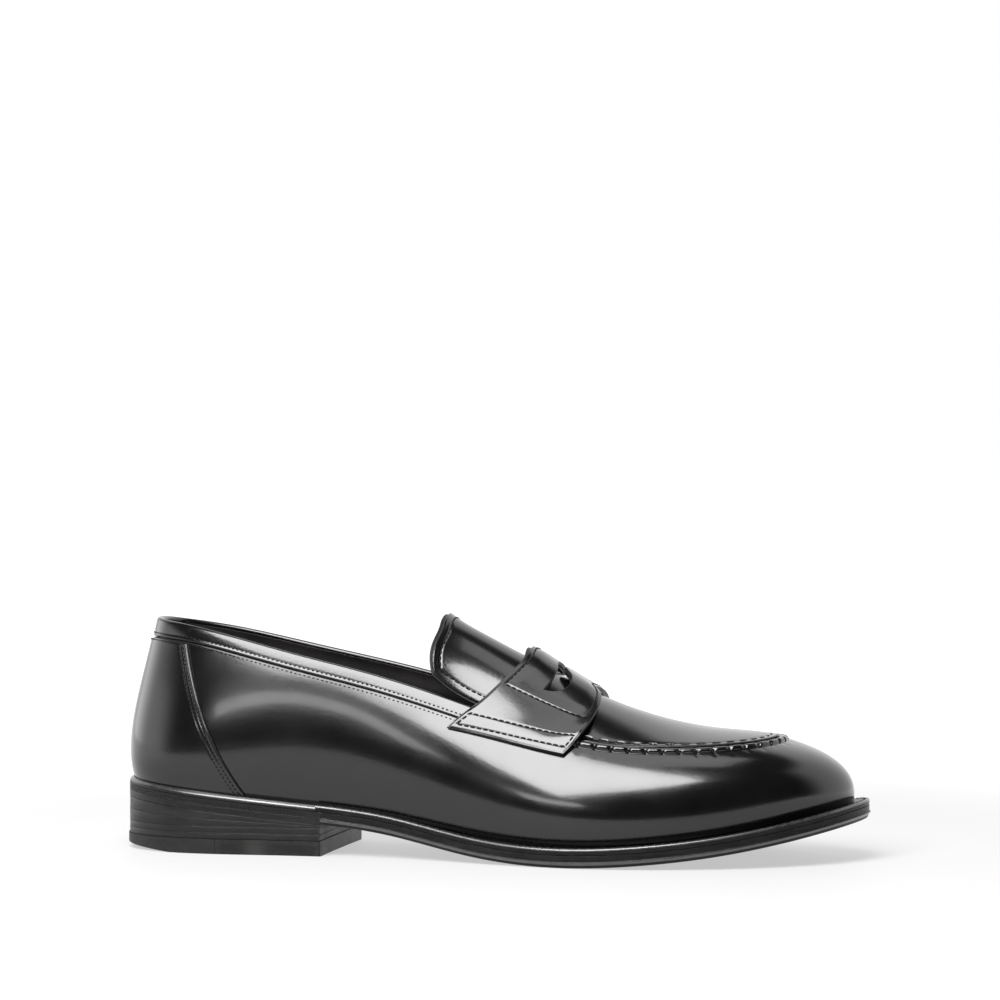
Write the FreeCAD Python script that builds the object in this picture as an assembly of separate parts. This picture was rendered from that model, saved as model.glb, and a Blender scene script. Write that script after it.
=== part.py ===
"""Penny loafer, right shoe: welted leather sole, stacked heel, full-wrap vamp, sewn-in apron,
saddle strap with a penny slot, and a tongue that lifts behind the strap.

Millimetres. +X points to the toe, +Y to the inner (medial) side, +Z up, floor at z = 0.
The shape follows a last: a closed sole outline, a sole height line, a top line (the collar, running
on as the apron seam), and an instep that spans between the two sides of the top line.
"""
import FreeCAD, Part
import functools
import math
import os

Vec = FreeCAD.Vector

# ---------------------------------------------------------------- driving dimensions
SOLE_LENGTH = 305.0            # overall, heel back to toe tip
SOLE_WIDTH = 107.0             # across the ball
UPPER_HEIGHT_SCALE = 1.0       # 1.0 is the drawn last; the heights above the welt scale with it
WELT_THICK = 2.6
WELT_INNER = 8.6               # the welt reaches this far in from the upper's foot
OUTSOLE_THICK = 5.1
OUTSOLE_BEVEL = 1.3            # chamfer under the outsole's edge
GLUE = 0.08                    # clearance left between glued layers

OUTER_LEATHER = 1.3            # vamp, band, apron, tongue
STIFFENER_THICK = 1.1          # heel counter, toe puff, side stays
LINING_THICK = 0.9
FOXING_THICK = 0.9             # the heel foxing lies on the vamp
BAND_STEP = 0.35               # how far the collar band stands above the vamp
BAND_WIDTH = (8.2, 6.7)        # collar band, measured down the wall: at the heel, along the sides
SEAM_GAP = 0.3                 # between the edges of neighbouring upper pieces
RIDGE_HEIGHT = 1.6             # rolled edge of the vamp along the apron
APRON_INSET = 1.5              # apron's edge from the seam line
APRON_LINING_INSET = 3.5       # its lining's edge from the apron's
STRAP_THICK = 1.6
STRAP_BACKING = 0.6
STRAP_REAR_LIFT = 5.5          # strap's outer face over the instep at its rear edge
STRAP_FRONT_LIFT = 3.2         # and at its front edge
STRAP_CLEAR = 0.25             # between the strap and the folded edges that it crosses

INSOLE_THICK = 2.9
SOCK_THICK = 1.0
SOCK_INSET = 1.2               # sock liner from the insole's edge
RIB_THICK = 1.8                # canvas rib under the insole
RIB_DEPTH = 1.5                # it reaches this far below the welt's top
MARGIN_GAP = 0.3               # between rib and what stands beside it
HEEL_PAD_DEPTH = 1.8
HEEL_PAD_LENGTH = 62.0
HEEL_PAD_MARGIN = 7.0          # insole left round the heel pad
SHANK_START = 62.0
SHANK_LENGTH = 105.0
SHANK_WIDTH = 14.0
SHANK_THICK = 1.2
SHANK_Y = -3.0
SHANK_DROP = 0.2               # the shank's top below the welt's top

TOP_PIECE_THICK = 6.0
TOP_PIECE_PROUD = 0.5          # the top piece stands this far outside the lifts
LIFT_INSET = 0.4               # the lifts stand this far inside the outsole's edge
FLAT_LIFT = 2.5                # the two lower lifts; the two upper ones taper forwards
HEEL_LENGTH = 91.6             # heel back to breast
BREAST_HOLLOW = 4.0            # the breast is hollow across the width
RUBBER_LENGTH = 44.0           # rear rubber part of the top piece
STRIKE_RISE = 2.4              # the rubber's back edge is ground up by this much
STRIKE_LENGTH = 24.0
NAIL_RADIUS = 1.1
PIN_RADIUS = 0.8
HOLE_CLEAR = 0.06
NAIL_RUN = (14.0, 22.0, 76.0, 3)   # inset from the sole's edge, first and last x, nails a side
NAIL_CENTRES = [(14.0, 0.0), (46.0, 0.0)]
PIN_RUN = (8.0, 8.0, 80.0, 6)      # the same for the top piece's pins
PIN_LENGTH = 0.45              # a pin's hold in the lowest lift
PIN_SUNK = 0.25                # its foot above the ground
RAND_OVERLAP = 6.0             # the heel rand ends this far behind the breast
WELT_PITCH = 3.6               # welt stitch length
WELT_THREAD = 0.42             # thread radius
WELT_STITCH_SHARE = 0.76       # of the stitch length is thread on the surface
WELT_SEAM_INSET = 2.2          # welt stitches from the sole's edge
APRON_PITCH = 6.6              # apron stitch spacing
APRON_THREAD = 0.45
THREAD_ARCH = 1.9              # bend radius of an apron stitch over the rolled edge
THREAD_SWEEP = 110             # degrees of that bend
THREAD_CLEAR = 0.3             # between the stitch and the rolled edge

TONGUE_HINGE_X = 168.6         # the tongue's root, under the strap's rear edge
TONGUE_CLEAR = 0.8             # between the tongue's root and the apron
TONGUE_LINING_REACH = 0.9      # the tongue lining shows round the tongue

# ---------------------------------------------------------------- the last's stations
# Twenty stations round the shoe: 0 heel back, 1 to 9 outer side, 10 toe tip, 11 to 19 inner side.
# They are control points of closed uniform cubic B-splines, for a shoe 305 long and 107 wide.
DRAWN_LENGTH = 305.0
DRAWN_WIDTH = 107.0
SOLE_OUTLINE = [
    (-3, 0), (2, -26.5), (33, -38.5), (73, -34.5), (113, -36.5), (153, -47.5), (192, -57.5),
    (230, -55), (266, -43), (294, -22), (308, 6), (296, 32), (264, 47), (226, 54),
    (186, 50), (147, 35.5), (108, 27.5), (70, 30.5), (32, 34.5), (1.5, 25.5),
]
# how far the sole's edge stands outside the line where the upper meets the welt
WELT_REACH = [
    3.5, 3.7, 4, 4, 4.5, 5.2, 5.5, 5.8, 6.4, 7.2, 7.6, 7.2, 6.4, 5.8, 5.5, 5, 4.2, 4, 4, 3.9,
]
# the top line: collar, then apron seam; the seam's heights come from the apron's own shape
TOP_LINE = [
    (9.5, 0, 94.5), (12, -16, 94), (37, -25.5, 91), (74, -28, 81), (112, -29, 73),
    (152, -32.5, 60.5), (190, -37.5, 48), (222, -34, 0), (250, -27, 0), (265.5, -13, 0),
    (269.5, 6, 0), (263, 24, 0), (246, 34, 0), (220, 38.5, 0), (189, 39.5, 49),
    (151, 33, 62), (111, 29, 73.5), (73, 28, 81), (36, 25.5, 89.6), (11.5, 16, 93),
]
# wall handles at each station: out and up from the welt, then out and down from the top line
WALL_SHAPE = [
    (7, 16, 4.5, 25), (5.5, 17, 6, 25), (4.5, 18, 8, 25), (4.5, 16, 7.5, 21), (5, 15, 7.5, 18),
    (6, 14.5, 10, 13), (7, 14, 12, 10), (6.5, 13, 12.5, 7), (5, 11, 13, 6), (3.5, 12.5, 19, 5),
    (2.5, 13, 23, 5), (3.5, 12.5, 19, 5), (5, 11, 13, 6), (6.5, 13, 12.5, 7), (7, 15, 12, 11),
    (6.5, 16, 10.5, 14), (6, 17, 8.5, 18), (5, 18, 8, 21), (4.5, 18, 8, 25), (5, 18, 6, 25),
]
# welt top above its lowest point, at control stations 35 apart from x = -25
PROFILE_START = -25.0
PROFILE_PITCH = 35.0
PROFILE_RISE = [24.6, 20.6, 16.9, 13.5, 10.8, 2.3, -0.4, 1.4, 5.5, 13.1, 22.4]
# the apron: crest height, hollow across (height lost per square millimetre) and crest line,
# at control stations 15 apart from x = 150
APRON_START = 150.0
APRON_SPACING = 15.0
APRON_CREST = [89, 79.6, 71.2, 63.6, 58.0, 53.8, 51.2, 50.4, 48.6, 44]
APRON_DROP = [0.020, 0.0185, 0.0155, 0.0122, 0.0096, 0.0066, 0.0050, 0.0048, 0.0052, 0.0055]
APRON_MIDDLE = [0, 0, 0.5, 1, 1.6, 2.3, 3, 3.9, 5, 6]
# the tongue, stations from under the strap rearwards: x, half width, side height, crest height
TONGUE_ROWS = [
    (190, 29, 50, 66.6), (176, 28.5, 53.5, 74.2), (162, 28, 57.0, 80.5), (148, 27, 61.1, 87.8),
    (134, 26.5, 69.4, 94.8), (120, 25.5, 85.9, 108.2),
]
TONGUE_ARCH = 0.55             # how square the tongue's arch is
TONGUE_END = 3.05              # rear edge on the crest, in stations from TONGUE_ROWS[1]
TONGUE_FLARE = 0.234           # the rear edge runs back a little beside the crest
TONGUE_CORNER = 0.26           # and forward again at its rounded corners

# ---------------------------------------------------------------- seams, in station units
COLLAR_FRONT = 5.15            # where the collar band ends, under the strap
FOXING_FOOT = 2.55             # foxing seam at the welt
FOXING_HEAD = 1.67             # foxing seam at the collar band
RIDGE_FADE = (5.8, 6.2)        # the vamp's rolled edge dies away under the strap
RIDGE_LEVEL = 0.957            # wall level of its crest
RIDGE_REACH = 0.075            # and its half width, in wall level
THREAD_START = 6.24            # the first apron stitch in front of the strap
COUNTER_FRONT = 3.1            # inside: heel counter, toe puff and side stays
PUFF_BACK = 7.9
SIDE_FRONT = 7.7
SIDE_BACK = 3.3
LINING_JOINT = 5.6             # quarter lining meets vamp lining

STRAP_CREST_X = (167.9, 193.5)  # strap's rear and front edge on the crest
STRAP_TOP = ((5.0, 6.16), (15.0, 13.84))            # where they cross the top line: outer, inner
STRAP_FOOT = ((4.75, 6.0), (15.25, 14.0))           # the tab's lower corners
STRAP_FOOT_LEVEL = (0.767, 0.804)                   # their wall levels
STRAP_FOOT_BOW = 0.012         # the tab's lower edge bows up between them
STRAP_ARCH = 1.73              # exponent of the strap's fall from the crest to the top line
STRAP_SWEEP = ((2.4, 4.9), (2.4, 1.0))  # each edge swings forward beside the crest: outer, inner side
STRAP_REST = (0.28, 0.55, 0.8)  # guide points between crest and top line
BACKING_SPAN = (0.235, 0.765)  # the strap's backing, along the strap
SLOT_SPAN = (0.268, 0.732)     # the penny slot, along the strap
SLOT_REAR = 0.39               # slot's rear edge, across the strap
SLOT_DEPTH = 0.215
SLOT_CUSP = 0.115              # depth left at the front edge's notch on the crest
LOBE_AT = 0.4                  # where the slot is deepest, from the crest (0) to its tip (1)


# ---------------------------------------------------------------- curves and surfaces
def basis(u):
    """Weights of the four control points of a uniform cubic B-spline."""
    return ((1 - u) ** 3 / 6, (3 * u ** 3 - 6 * u ** 2 + 4) / 6,
            (-3 * u ** 3 + 3 * u ** 2 + 3 * u + 1) / 6, u ** 3 / 6)


def ring(points, t):
    """Point at station t of a closed uniform cubic B-spline."""
    i = math.floor(t)
    total = Vec(0, 0, 0)
    for k, weight in enumerate(basis(t - i)):
        total += points[(i + k - 1) % len(points)] * weight
    return total


def chain(values, at):
    """Value (number or point) at station `at` of an open uniform cubic B-spline."""
    i = min(max(int(math.floor(at)), 1), len(values) - 3)
    w = basis(at - i)
    return values[i - 1] * w[0] + values[i] * w[1] + values[i + 1] * w[2] + values[i + 2] * w[3]


def bezier(p, v):
    w = 1 - v
    return p[0] * w ** 3 + p[1] * (3 * w * w * v) + p[2] * (3 * w * v * v) + p[3] * v ** 3


def smooth(x, low, high):
    x = min(max((x - low) / (high - low), 0.0), 1.0)
    return x * x * (3 - 2 * x)


def mix(a, b, share):
    return a + (b - a) * share


def hump(x):
    """0 at both ends of the unit interval and 1 in its middle."""
    return 4 * x * (1 - x)


def fold(t):
    """Station counted from the heel back towards the toe on either side."""
    t = t % N
    return min(t, N - t)


STRETCH = SOLE_LENGTH / DRAWN_LENGTH
WIDEN = SOLE_WIDTH / DRAWN_WIDTH
UP = Vec(0, 0, 1)
OUTLINE = [Vec(x * STRETCH, y * WIDEN, 0) for x, y in SOLE_OUTLINE]
N = len(OUTLINE)


def rise(x):
    """Height of the welt's top above its lowest control level, along the sole."""
    return chain(PROFILE_RISE, (x / STRETCH - PROFILE_START) / PROFILE_PITCH)


LOWEST = min(rise(SOLE_LENGTH * k / 600) for k in range(601))


def welt_top(x):
    return rise(x) - LOWEST + WELT_THICK + OUTSOLE_THICK


def outward(points, t):
    """Plan direction out of a closed outline at station t."""
    along = ring(points, t + 0.001) - ring(points, t - 0.001)
    along.z = 0
    along.normalize()
    return Vec(along.y, -along.x, 0)


def lifted(x, y, z):
    """A drawn point scaled with the shoe, its height counted from the welt's drawn top."""
    height = z - (rise(x * STRETCH) - LOWEST + 7.7)
    return Vec(x * STRETCH, y * WIDEN, welt_top(x * STRETCH) + height * UPPER_HEIGHT_SCALE)


def apron_drawn(x, y):
    at = (x - APRON_START) / APRON_SPACING
    off = y - chain(APRON_MIDDLE, at)
    return chain(APRON_CREST, at) - chain(APRON_DROP, at) * off * off


def apron_face(x, y):
    """Point of the apron's outer face over plan position (x, y)."""
    return lifted(x / STRETCH, y / WIDEN, apron_drawn(x / STRETCH, y / WIDEN))


def top_point(x, y, z):
    return lifted(x, y, z if z else apron_drawn(x, y))


OUT = [outward(OUTLINE, i) for i in range(N)]
FEATHER = []
for i in range(N):
    foot = OUTLINE[i] - OUT[i] * WELT_REACH[i]
    FEATHER.append(Vec(foot.x, foot.y, welt_top(foot.x)))
TOP = [top_point(*p) for p in TOP_LINE]
WALL_LOW = [FEATHER[i] + OUT[i] * WALL_SHAPE[i][0] + UP * WALL_SHAPE[i][1] for i in range(N)]
WALL_HIGH = [TOP[i] + OUT[i] * WALL_SHAPE[i][2] - UP * WALL_SHAPE[i][3] for i in range(N)]


def wall(t, v):
    """Outer face of the vamp: station t, and v from the welt (0) to the top line (1)."""
    return bezier([ring(row, t) for row in (FEATHER, WALL_LOW, WALL_HIGH, TOP)], v)


def normal(surface, a, b, step, towards):
    """Unit normal of surface(a, b), on the side that `towards` points to."""
    along = surface(a + step, b) - surface(a - step, b)
    across = surface(a, b + step) - surface(a, b - step)
    n = along.cross(across)
    n.normalize()
    return n if n.dot(towards) > 0 else n * -1.0


def wall_out(t, v, depth):
    """A point at depth outside (+) or inside (-) the wall."""
    return wall(t, v) + normal(wall, t, v, 1e-4, ring(OUT, t) + UP * 0.4) * depth


def apron_out(x, y, depth):
    return apron_face(x, y) + normal(apron_face, x, y, 1e-2, UP) * depth


@functools.lru_cache(maxsize=None)
def band_level(t):
    """Wall level v of the collar band's lower edge."""
    v, here, gone = 1.0, wall(t, 1.0), 0.0
    while gone < mix(*BAND_WIDTH, smooth(fold(t), 0, 2)):
        v -= 0.005
        there = wall(t, v)
        gone += (there - here).Length
        here = there
    return v


def tongue_face(q, w):
    """Outer face of the tongue: q stations rearwards, w from outer to inner side."""
    rows = []
    for x, half, side, crest in TONGUE_ROWS:
        rise_to = (crest - side) / 0.75
        rows.append((lifted(x, -half, side), lifted(x, -half * (1 - TONGUE_ARCH), side + rise_to),
                     lifted(x, half * (1 - TONGUE_ARCH), side + rise_to), lifted(x, half, side)))
    return bezier([chain([row[k] for row in rows], q + 1) for k in range(4)], w)


def tongue_out(q, w, depth):
    return tongue_face(q, w) + normal(tongue_face, q, w, 1e-3, Vec(0, w - 0.5, 0.3)) * depth


def tongue_end(w):
    """Station of the tongue's rear edge, w from outer to inner side."""
    side = abs(2 * w - 1)
    return TONGUE_END + TONGUE_FLARE * smooth(side, 0.4, 1) - TONGUE_CORNER * side ** 8


def ridge_fade(t):
    """Height of the vamp's rolled edge at station t; it fades out under the strap."""
    return RIDGE_HEIGHT * smooth(fold(t), *RIDGE_FADE)


def strap_guides(s):
    """Points along the strap's outer face from the outer tab to the inner one; s is rear to front."""
    seat = STRAP_THICK + BAND_STEP + STRAP_CLEAR
    crest = apron_face(mix(*STRAP_CREST_X, s) * STRETCH, 0)
    crest += UP * mix(STRAP_REAR_LIFT, STRAP_FRONT_LIFT, s)
    sides = []
    for tops, feet, sweep in zip(STRAP_TOP, STRAP_FOOT, STRAP_SWEEP):
        t_top, t_foot = mix(*tops, s), mix(*feet, s)
        v_foot = mix(*STRAP_FOOT_LEVEL, s) + STRAP_FOOT_BOW * hump(s)
        over = normal(wall, t_top, 1.0, 1e-4, UP) + UP * 0.6
        over.normalize()
        edge = wall(t_top, 1.0) + over * (seat + ridge_fade(t_top))
        side = []
        for g in STRAP_REST:
            fall = g ** STRAP_ARCH
            swing = mix(*sweep, s) * hump(g)
            side.append(Vec(mix(crest.x, edge.x, fall) + swing, mix(crest.y, edge.y, g),
                            mix(crest.z, edge.z, fall)))
        side.append(edge)
        side.append(wall_out(mix(t_top, t_foot, 0.5), mix(1, v_foot, 0.5), seat))
        side.append(wall_out(t_foot, v_foot, STRAP_THICK + STRAP_CLEAR))
        sides.append(side)
    return sides[0][::-1] + [crest] + sides[1]


def strap_surface():
    grid = []
    across, along = 9, 61
    for i in range(across):
        curve = Part.BSplineCurve()
        curve.interpolate(strap_guides(i / (across - 1)))
        ends = curve.FirstParameter, curve.LastParameter
        grid.append([curve.value(mix(*ends, k / (along - 1))) for k in range(along)])
    return skin(grid)


# ---------------------------------------------------------------- solids
def skin(grid):
    surface = Part.BSplineSurface()
    surface.interpolate(grid)
    return surface


def solid_of(faces):
    shell = Part.makeCompound(faces)
    shell.sewShape(0.001)
    solid = Part.Solid(shell.Shells[0])
    if solid.Volume < 0:
        solid.reverse()
    return solid


def patch(over, under, na, nb):
    """Closed solid between two faces, each given as a function of (a, b) in the unit square."""
    sides = [skin([[f(i / (na - 1), k / (nb - 1)) for k in range(nb)] for i in range(na)])
             for f in (over, under)]
    faces = [s.toShape() for s in sides]
    for pick in range(4):
        edges = []
        for s in sides:
            iso = s.vIso if pick > 1 else s.uIso
            edges.append(iso(s.bounds()[pick]).toShape())
        faces.append(Part.makeRuledSurface(*edges))
    return solid_of(faces)


def layer(out, place, over, under, na, nb):
    """Patch of a layered surface: place(a, b) gives its two parameters, over and under are depths."""
    def face(depth):
        def point(a, b):
            at = place(a, b)
            return out(*at, depth(*at) if callable(depth) else depth)
        return point
    return patch(face(over), face(under), na, nb)


def closed_curve(points):
    curve = Part.BSplineCurve()
    curve.interpolate(Points=points, PeriodicFlag=True)
    return curve.toShape()


def inset_ring(points, inset, count=96):
    """Plan points of a closed outline moved inwards."""
    result = []
    for k in range(count):
        t = N * k / count
        p = ring(points, t) - outward(points, t) * inset
        result.append(Vec(p.x, p.y, 0))
    return result


def prism(points, low=-10.0, high=120.0):
    face = Part.Face(Part.Wire([closed_curve([Vec(p.x, p.y, low) for p in points])]))
    return face.extrude(Vec(0, 0, high - low))


def block(x0, x1, y0, y1, z0, z1):
    return Part.makeBox(x1 - x0, y1 - y0, z1 - z0, Vec(x0, y0, z0))


def slab(above, below, end=None):
    """Full-width sheet under the sole's height line, between two depths below the welt's top.

    Each depth is a number, or a function of x giving a height. The sheet runs past the toe unless
    `end` stops it.
    """
    end = SOLE_LENGTH + 12.0 if end is None else end
    curves = []
    for depth in (above, below):
        points = []
        for k in range(41):
            x = mix(-12.0, end, k / 40)
            z = depth(x) if callable(depth) else welt_top(x) - depth
            points.append(Vec(x, -SOLE_WIDTH, z))
        curve = Part.BSplineCurve()
        curve.interpolate(points)
        curves.append(curve)
    ends = [Part.makeLine(curves[0].value(at(curves[0])), curves[1].value(at(curves[1])))
            for at in (lambda c: c.FirstParameter, lambda c: c.LastParameter)]
    wire = Part.Wire([curves[0].toShape(), ends[1], curves[1].toShape(), ends[0]])
    return Part.Face(wire).extrude(Vec(0, 2 * SOLE_WIDTH, 0))


def plate(points, above, below):
    return slab(above, below).common(prism(points))


def sole_bottom(x):
    return welt_top(x) - WELT_THICK - OUTSOLE_THICK


def heel_outline(inset):
    """Heel plan: the sole's back cut off along a hollow breast."""
    wide = SOLE_WIDTH
    middle = Vec(HEEL_LENGTH - BREAST_HOLLOW, 0, -10)
    ends = [Vec(HEEL_LENGTH, -wide, -10), middle, Vec(HEEL_LENGTH, wide, -10)]
    hollow = Part.Arc(*ends).toShape()
    back = [Vec(-20, wide, -10), Vec(-20, -wide, -10)]
    wire = Part.Wire([hollow, Part.makeLine(ends[2], back[0]), Part.makeLine(*back),
                      Part.makeLine(back[1], ends[0])])
    return Part.Face(wire).extrude(Vec(0, 0, 130)).common(prism(inset_ring(OUTLINE, inset)))


def pins(spots, radius, low, high):
    solids = []
    for x, y in spots:
        top, foot = high(x), low(x)
        solids.append(Part.makeCylinder(radius, top - foot, Vec(x, y, foot)))
    return Part.makeCompound(solids)


def side_run(sole_inset, x0, x1, count):
    """Plan spots along both sides of the heel, evenly spaced."""
    spots = []
    points = inset_ring(OUTLINE, sole_inset, 400)
    near = [p for p in points if x0 <= p.x <= x1 and p.y < 0]
    far = [p for p in points if x0 <= p.x <= x1 and p.y > 0]
    for group in (near, far):
        group.sort(key=lambda p: p.x)
        for k in range(count):
            p = group[round(k * (len(group) - 1) / (count - 1))]
            spots.append((p.x, p.y))
    return spots


# layers of the upper, as depths below the outer face
STAY_AT = OUTER_LEATHER + GLUE
LINING_AT = STAY_AT + STIFFENER_THICK + GLUE
LINING_UNDER = LINING_AT + LINING_THICK
INSOLE_AT = LINING_UNDER + GLUE       # insole's underside above the welt's top
INSOLE_INSET = LINING_UNDER + 0.35
RIB_OUTER = WELT_INNER + MARGIN_GAP
RIB_INNER = RIB_OUTER + RIB_THICK


def vamp_top(t):
    """Wall level of the vamp's upper edge: below the collar band, then the apron seam."""
    at = fold(t)
    low = band_level(round(min(at, COLLAR_FRONT + 1), 4)) - SEAM_GAP / 25
    return mix(low, 1.0, smooth(at, COLLAR_FRONT + 0.1, COLLAR_FRONT + 0.8))


def ridge(t, v):
    """The vamp's rolled edge stands up along the apron."""
    across = (v - RIDGE_LEVEL) / RIDGE_REACH
    bump = max(0.0, 1 - across * across) ** 2
    return ridge_fade(t) * bump


def margin(over, under, outer_inset):
    """The edge of an upper layer turned in under the insole, up to the rib."""
    ring_plan = prism(inset_ring(FEATHER, outer_inset)).cut(prism(inset_ring(FEATHER, WELT_INNER)))
    return slab(-over, -under).common(ring_plan)


def top_piece_top(x):
    return TOP_PIECE_THICK + GLUE


def make_welted_edge(nail_holes):
    """Outsole, welt and heel rand."""
    edge = prism(inset_ring(OUTLINE, 0))
    blank = slab(WELT_THICK + GLUE, WELT_THICK + OUTSOLE_THICK).common(edge)
    long_edges = [e for e in blank.Edges if e.BoundBox.XLength > SOLE_LENGTH * 0.4]
    lowest = min(e.BoundBox.ZMin for e in long_edges)
    under_edges = [e for e in blank.Edges if abs(e.BoundBox.ZMin - lowest) < 0.5]
    outsole = blank.makeChamfer(OUTSOLE_BEVEL, under_edges)
    # the edge stays square over the heel
    outsole = outsole.fuse(blank.common(block(-50, HEEL_LENGTH - BREAST_HOLLOW, -200, 200, -50, 200)))
    welt_ring = edge.cut(prism(inset_ring(FEATHER, WELT_INNER)))
    welt = slab(0, WELT_THICK).common(welt_ring)
    split = HEEL_LENGTH - RAND_OVERLAP
    return {
        "outsole": outsole.cut(nail_holes),
        "welt": welt.common(block(split + SEAM_GAP / 2, 400, -200, 200, -50, 200)),
        "heel_rand": welt.common(block(-50, split - SEAM_GAP / 2, -200, 200, -50, 200)),
    }


def heel_levels():
    """Heights of the joints between the lifts: two flat lifts, then two that taper forwards."""
    first = TOP_PIECE_THICK + GLUE
    second = first + FLAT_LIFT + GLUE
    third = second + FLAT_LIFT + GLUE
    return [lambda x: first, lambda x: second, lambda x: third,
            lambda x: (third + sole_bottom(x)) / 2, sole_bottom]


def make_heel(nail_holes):
    """Four lifts and the two-part top piece with its pins."""
    parts = {}
    levels = heel_levels()
    plan = heel_outline(LIFT_INSET)
    spots = side_run(*PIN_RUN)
    pin_holes = pins(spots, PIN_RADIUS + HOLE_CLEAR, lambda x: -1.0,
                     lambda x: top_piece_top(x) + PIN_LENGTH + HOLE_CLEAR)
    for k in range(4):
        under_next = lambda x, k=k: levels[k + 1](x) - GLUE
        lift = slab(under_next, levels[k], HEEL_LENGTH + 4).common(plan).cut(nail_holes)
        parts["heel_lift_%d" % (k + 1)] = lift.cut(pin_holes) if k == 0 else lift
    top_piece = heel_outline(LIFT_INSET - TOP_PIECE_PROUD)
    top_piece = top_piece.common(block(-50, 200, -200, 200, 0, TOP_PIECE_THICK)).cut(pin_holes)
    strike = Part.Face(Part.makePolygon([
        Vec(-20, -100, -1), Vec(STRIKE_LENGTH, -100, -1), Vec(STRIKE_LENGTH, -100, 0),
        Vec(0, -100, STRIKE_RISE), Vec(-20, -100, STRIKE_RISE * 1.8), Vec(-20, -100, -1)]))
    strike = strike.extrude(Vec(0, 200, 0))
    half_gap = 0.05
    rubber = top_piece.common(block(-50, RUBBER_LENGTH - half_gap, -200, 200, -5, 20))
    parts["top_piece_rubber"] = rubber.cut(strike)
    parts["top_piece_leather"] = top_piece.common(block(RUBBER_LENGTH + half_gap, 200, -200, 200, -5, 20))
    parts["top_piece_pins"] = pins(
        spots, PIN_RADIUS, lambda x: PIN_SUNK + STRIKE_RISE * max(0.0, 1 - x / STRIKE_LENGTH),
        lambda x: top_piece_top(x) + PIN_LENGTH)
    return parts


def make_inside(nail_holes):
    """Insole with its heel pad and sock liner, and what fills the bottom under it."""
    parts = {}
    insole_top = INSOLE_AT + INSOLE_THICK
    insole = plate(inset_ring(FEATHER, INSOLE_INSET), -insole_top, -INSOLE_AT)
    behind = block(-50, HEEL_PAD_LENGTH, -99, 99, -50, 150)
    recess = slab(-insole_top - 5, -insole_top + HEEL_PAD_DEPTH)
    recess = recess.common(prism(inset_ring(FEATHER, INSOLE_INSET + HEEL_PAD_MARGIN)).common(behind))
    parts["insole"] = insole.cut(recess).cut(nail_holes)
    pad_plan = prism(inset_ring(FEATHER, INSOLE_INSET + HEEL_PAD_MARGIN + MARGIN_GAP))
    pad_plan = pad_plan.common(block(-50, HEEL_PAD_LENGTH - MARGIN_GAP, -99, 99, -50, 150))
    parts["heel_pad"] = slab(-insole_top, -insole_top + HEEL_PAD_DEPTH - GLUE).common(pad_plan)
    parts["sock_liner"] = plate(inset_ring(FEATHER, INSOLE_INSET + SOCK_INSET),
                                -insole_top - GLUE - SOCK_THICK, -insole_top - GLUE)

    rib = prism(inset_ring(FEATHER, RIB_OUTER)).cut(prism(inset_ring(FEATHER, RIB_INNER)))
    rib = rib.common(block(HEEL_LENGTH - 10, 400, -99, 99, -50, 150))
    parts["insole_rib"] = slab(-INSOLE_AT + GLUE, RIB_DEPTH).common(rib)

    def shank(gap):
        half = SHANK_WIDTH / 2 - GLUE + gap
        ends = SHANK_START - gap, SHANK_START + SHANK_LENGTH + gap
        bed = block(*ends, SHANK_Y - half, SHANK_Y + half, -50, 150)
        return slab(SHANK_DROP - gap, SHANK_DROP + SHANK_THICK + gap).common(bed)

    cork = plate(inset_ring(FEATHER, RIB_INNER + MARGIN_GAP), -INSOLE_AT + GLUE, WELT_THICK)
    parts["steel_shank"] = shank(0)
    parts["cork_filler"] = cork.cut(shank(GLUE)).cut(nail_holes)
    return parts


def make_sole():
    spots = side_run(*NAIL_RUN) + NAIL_CENTRES
    foot = TOP_PIECE_THICK + GLUE + 0.6

    def head(x):
        return welt_top(x) + INSOLE_AT + INSOLE_THICK - HEEL_PAD_DEPTH - MARGIN_GAP

    holes = pins(spots, NAIL_RADIUS + HOLE_CLEAR, lambda x: foot - HOLE_CLEAR, lambda x: head(x) + 0.35)
    parts = {"heel_nails": pins(spots, NAIL_RADIUS, lambda x: foot, head)}
    for make in (make_welted_edge, make_heel, make_inside):
        parts.update(make(holes))
    return parts


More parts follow.
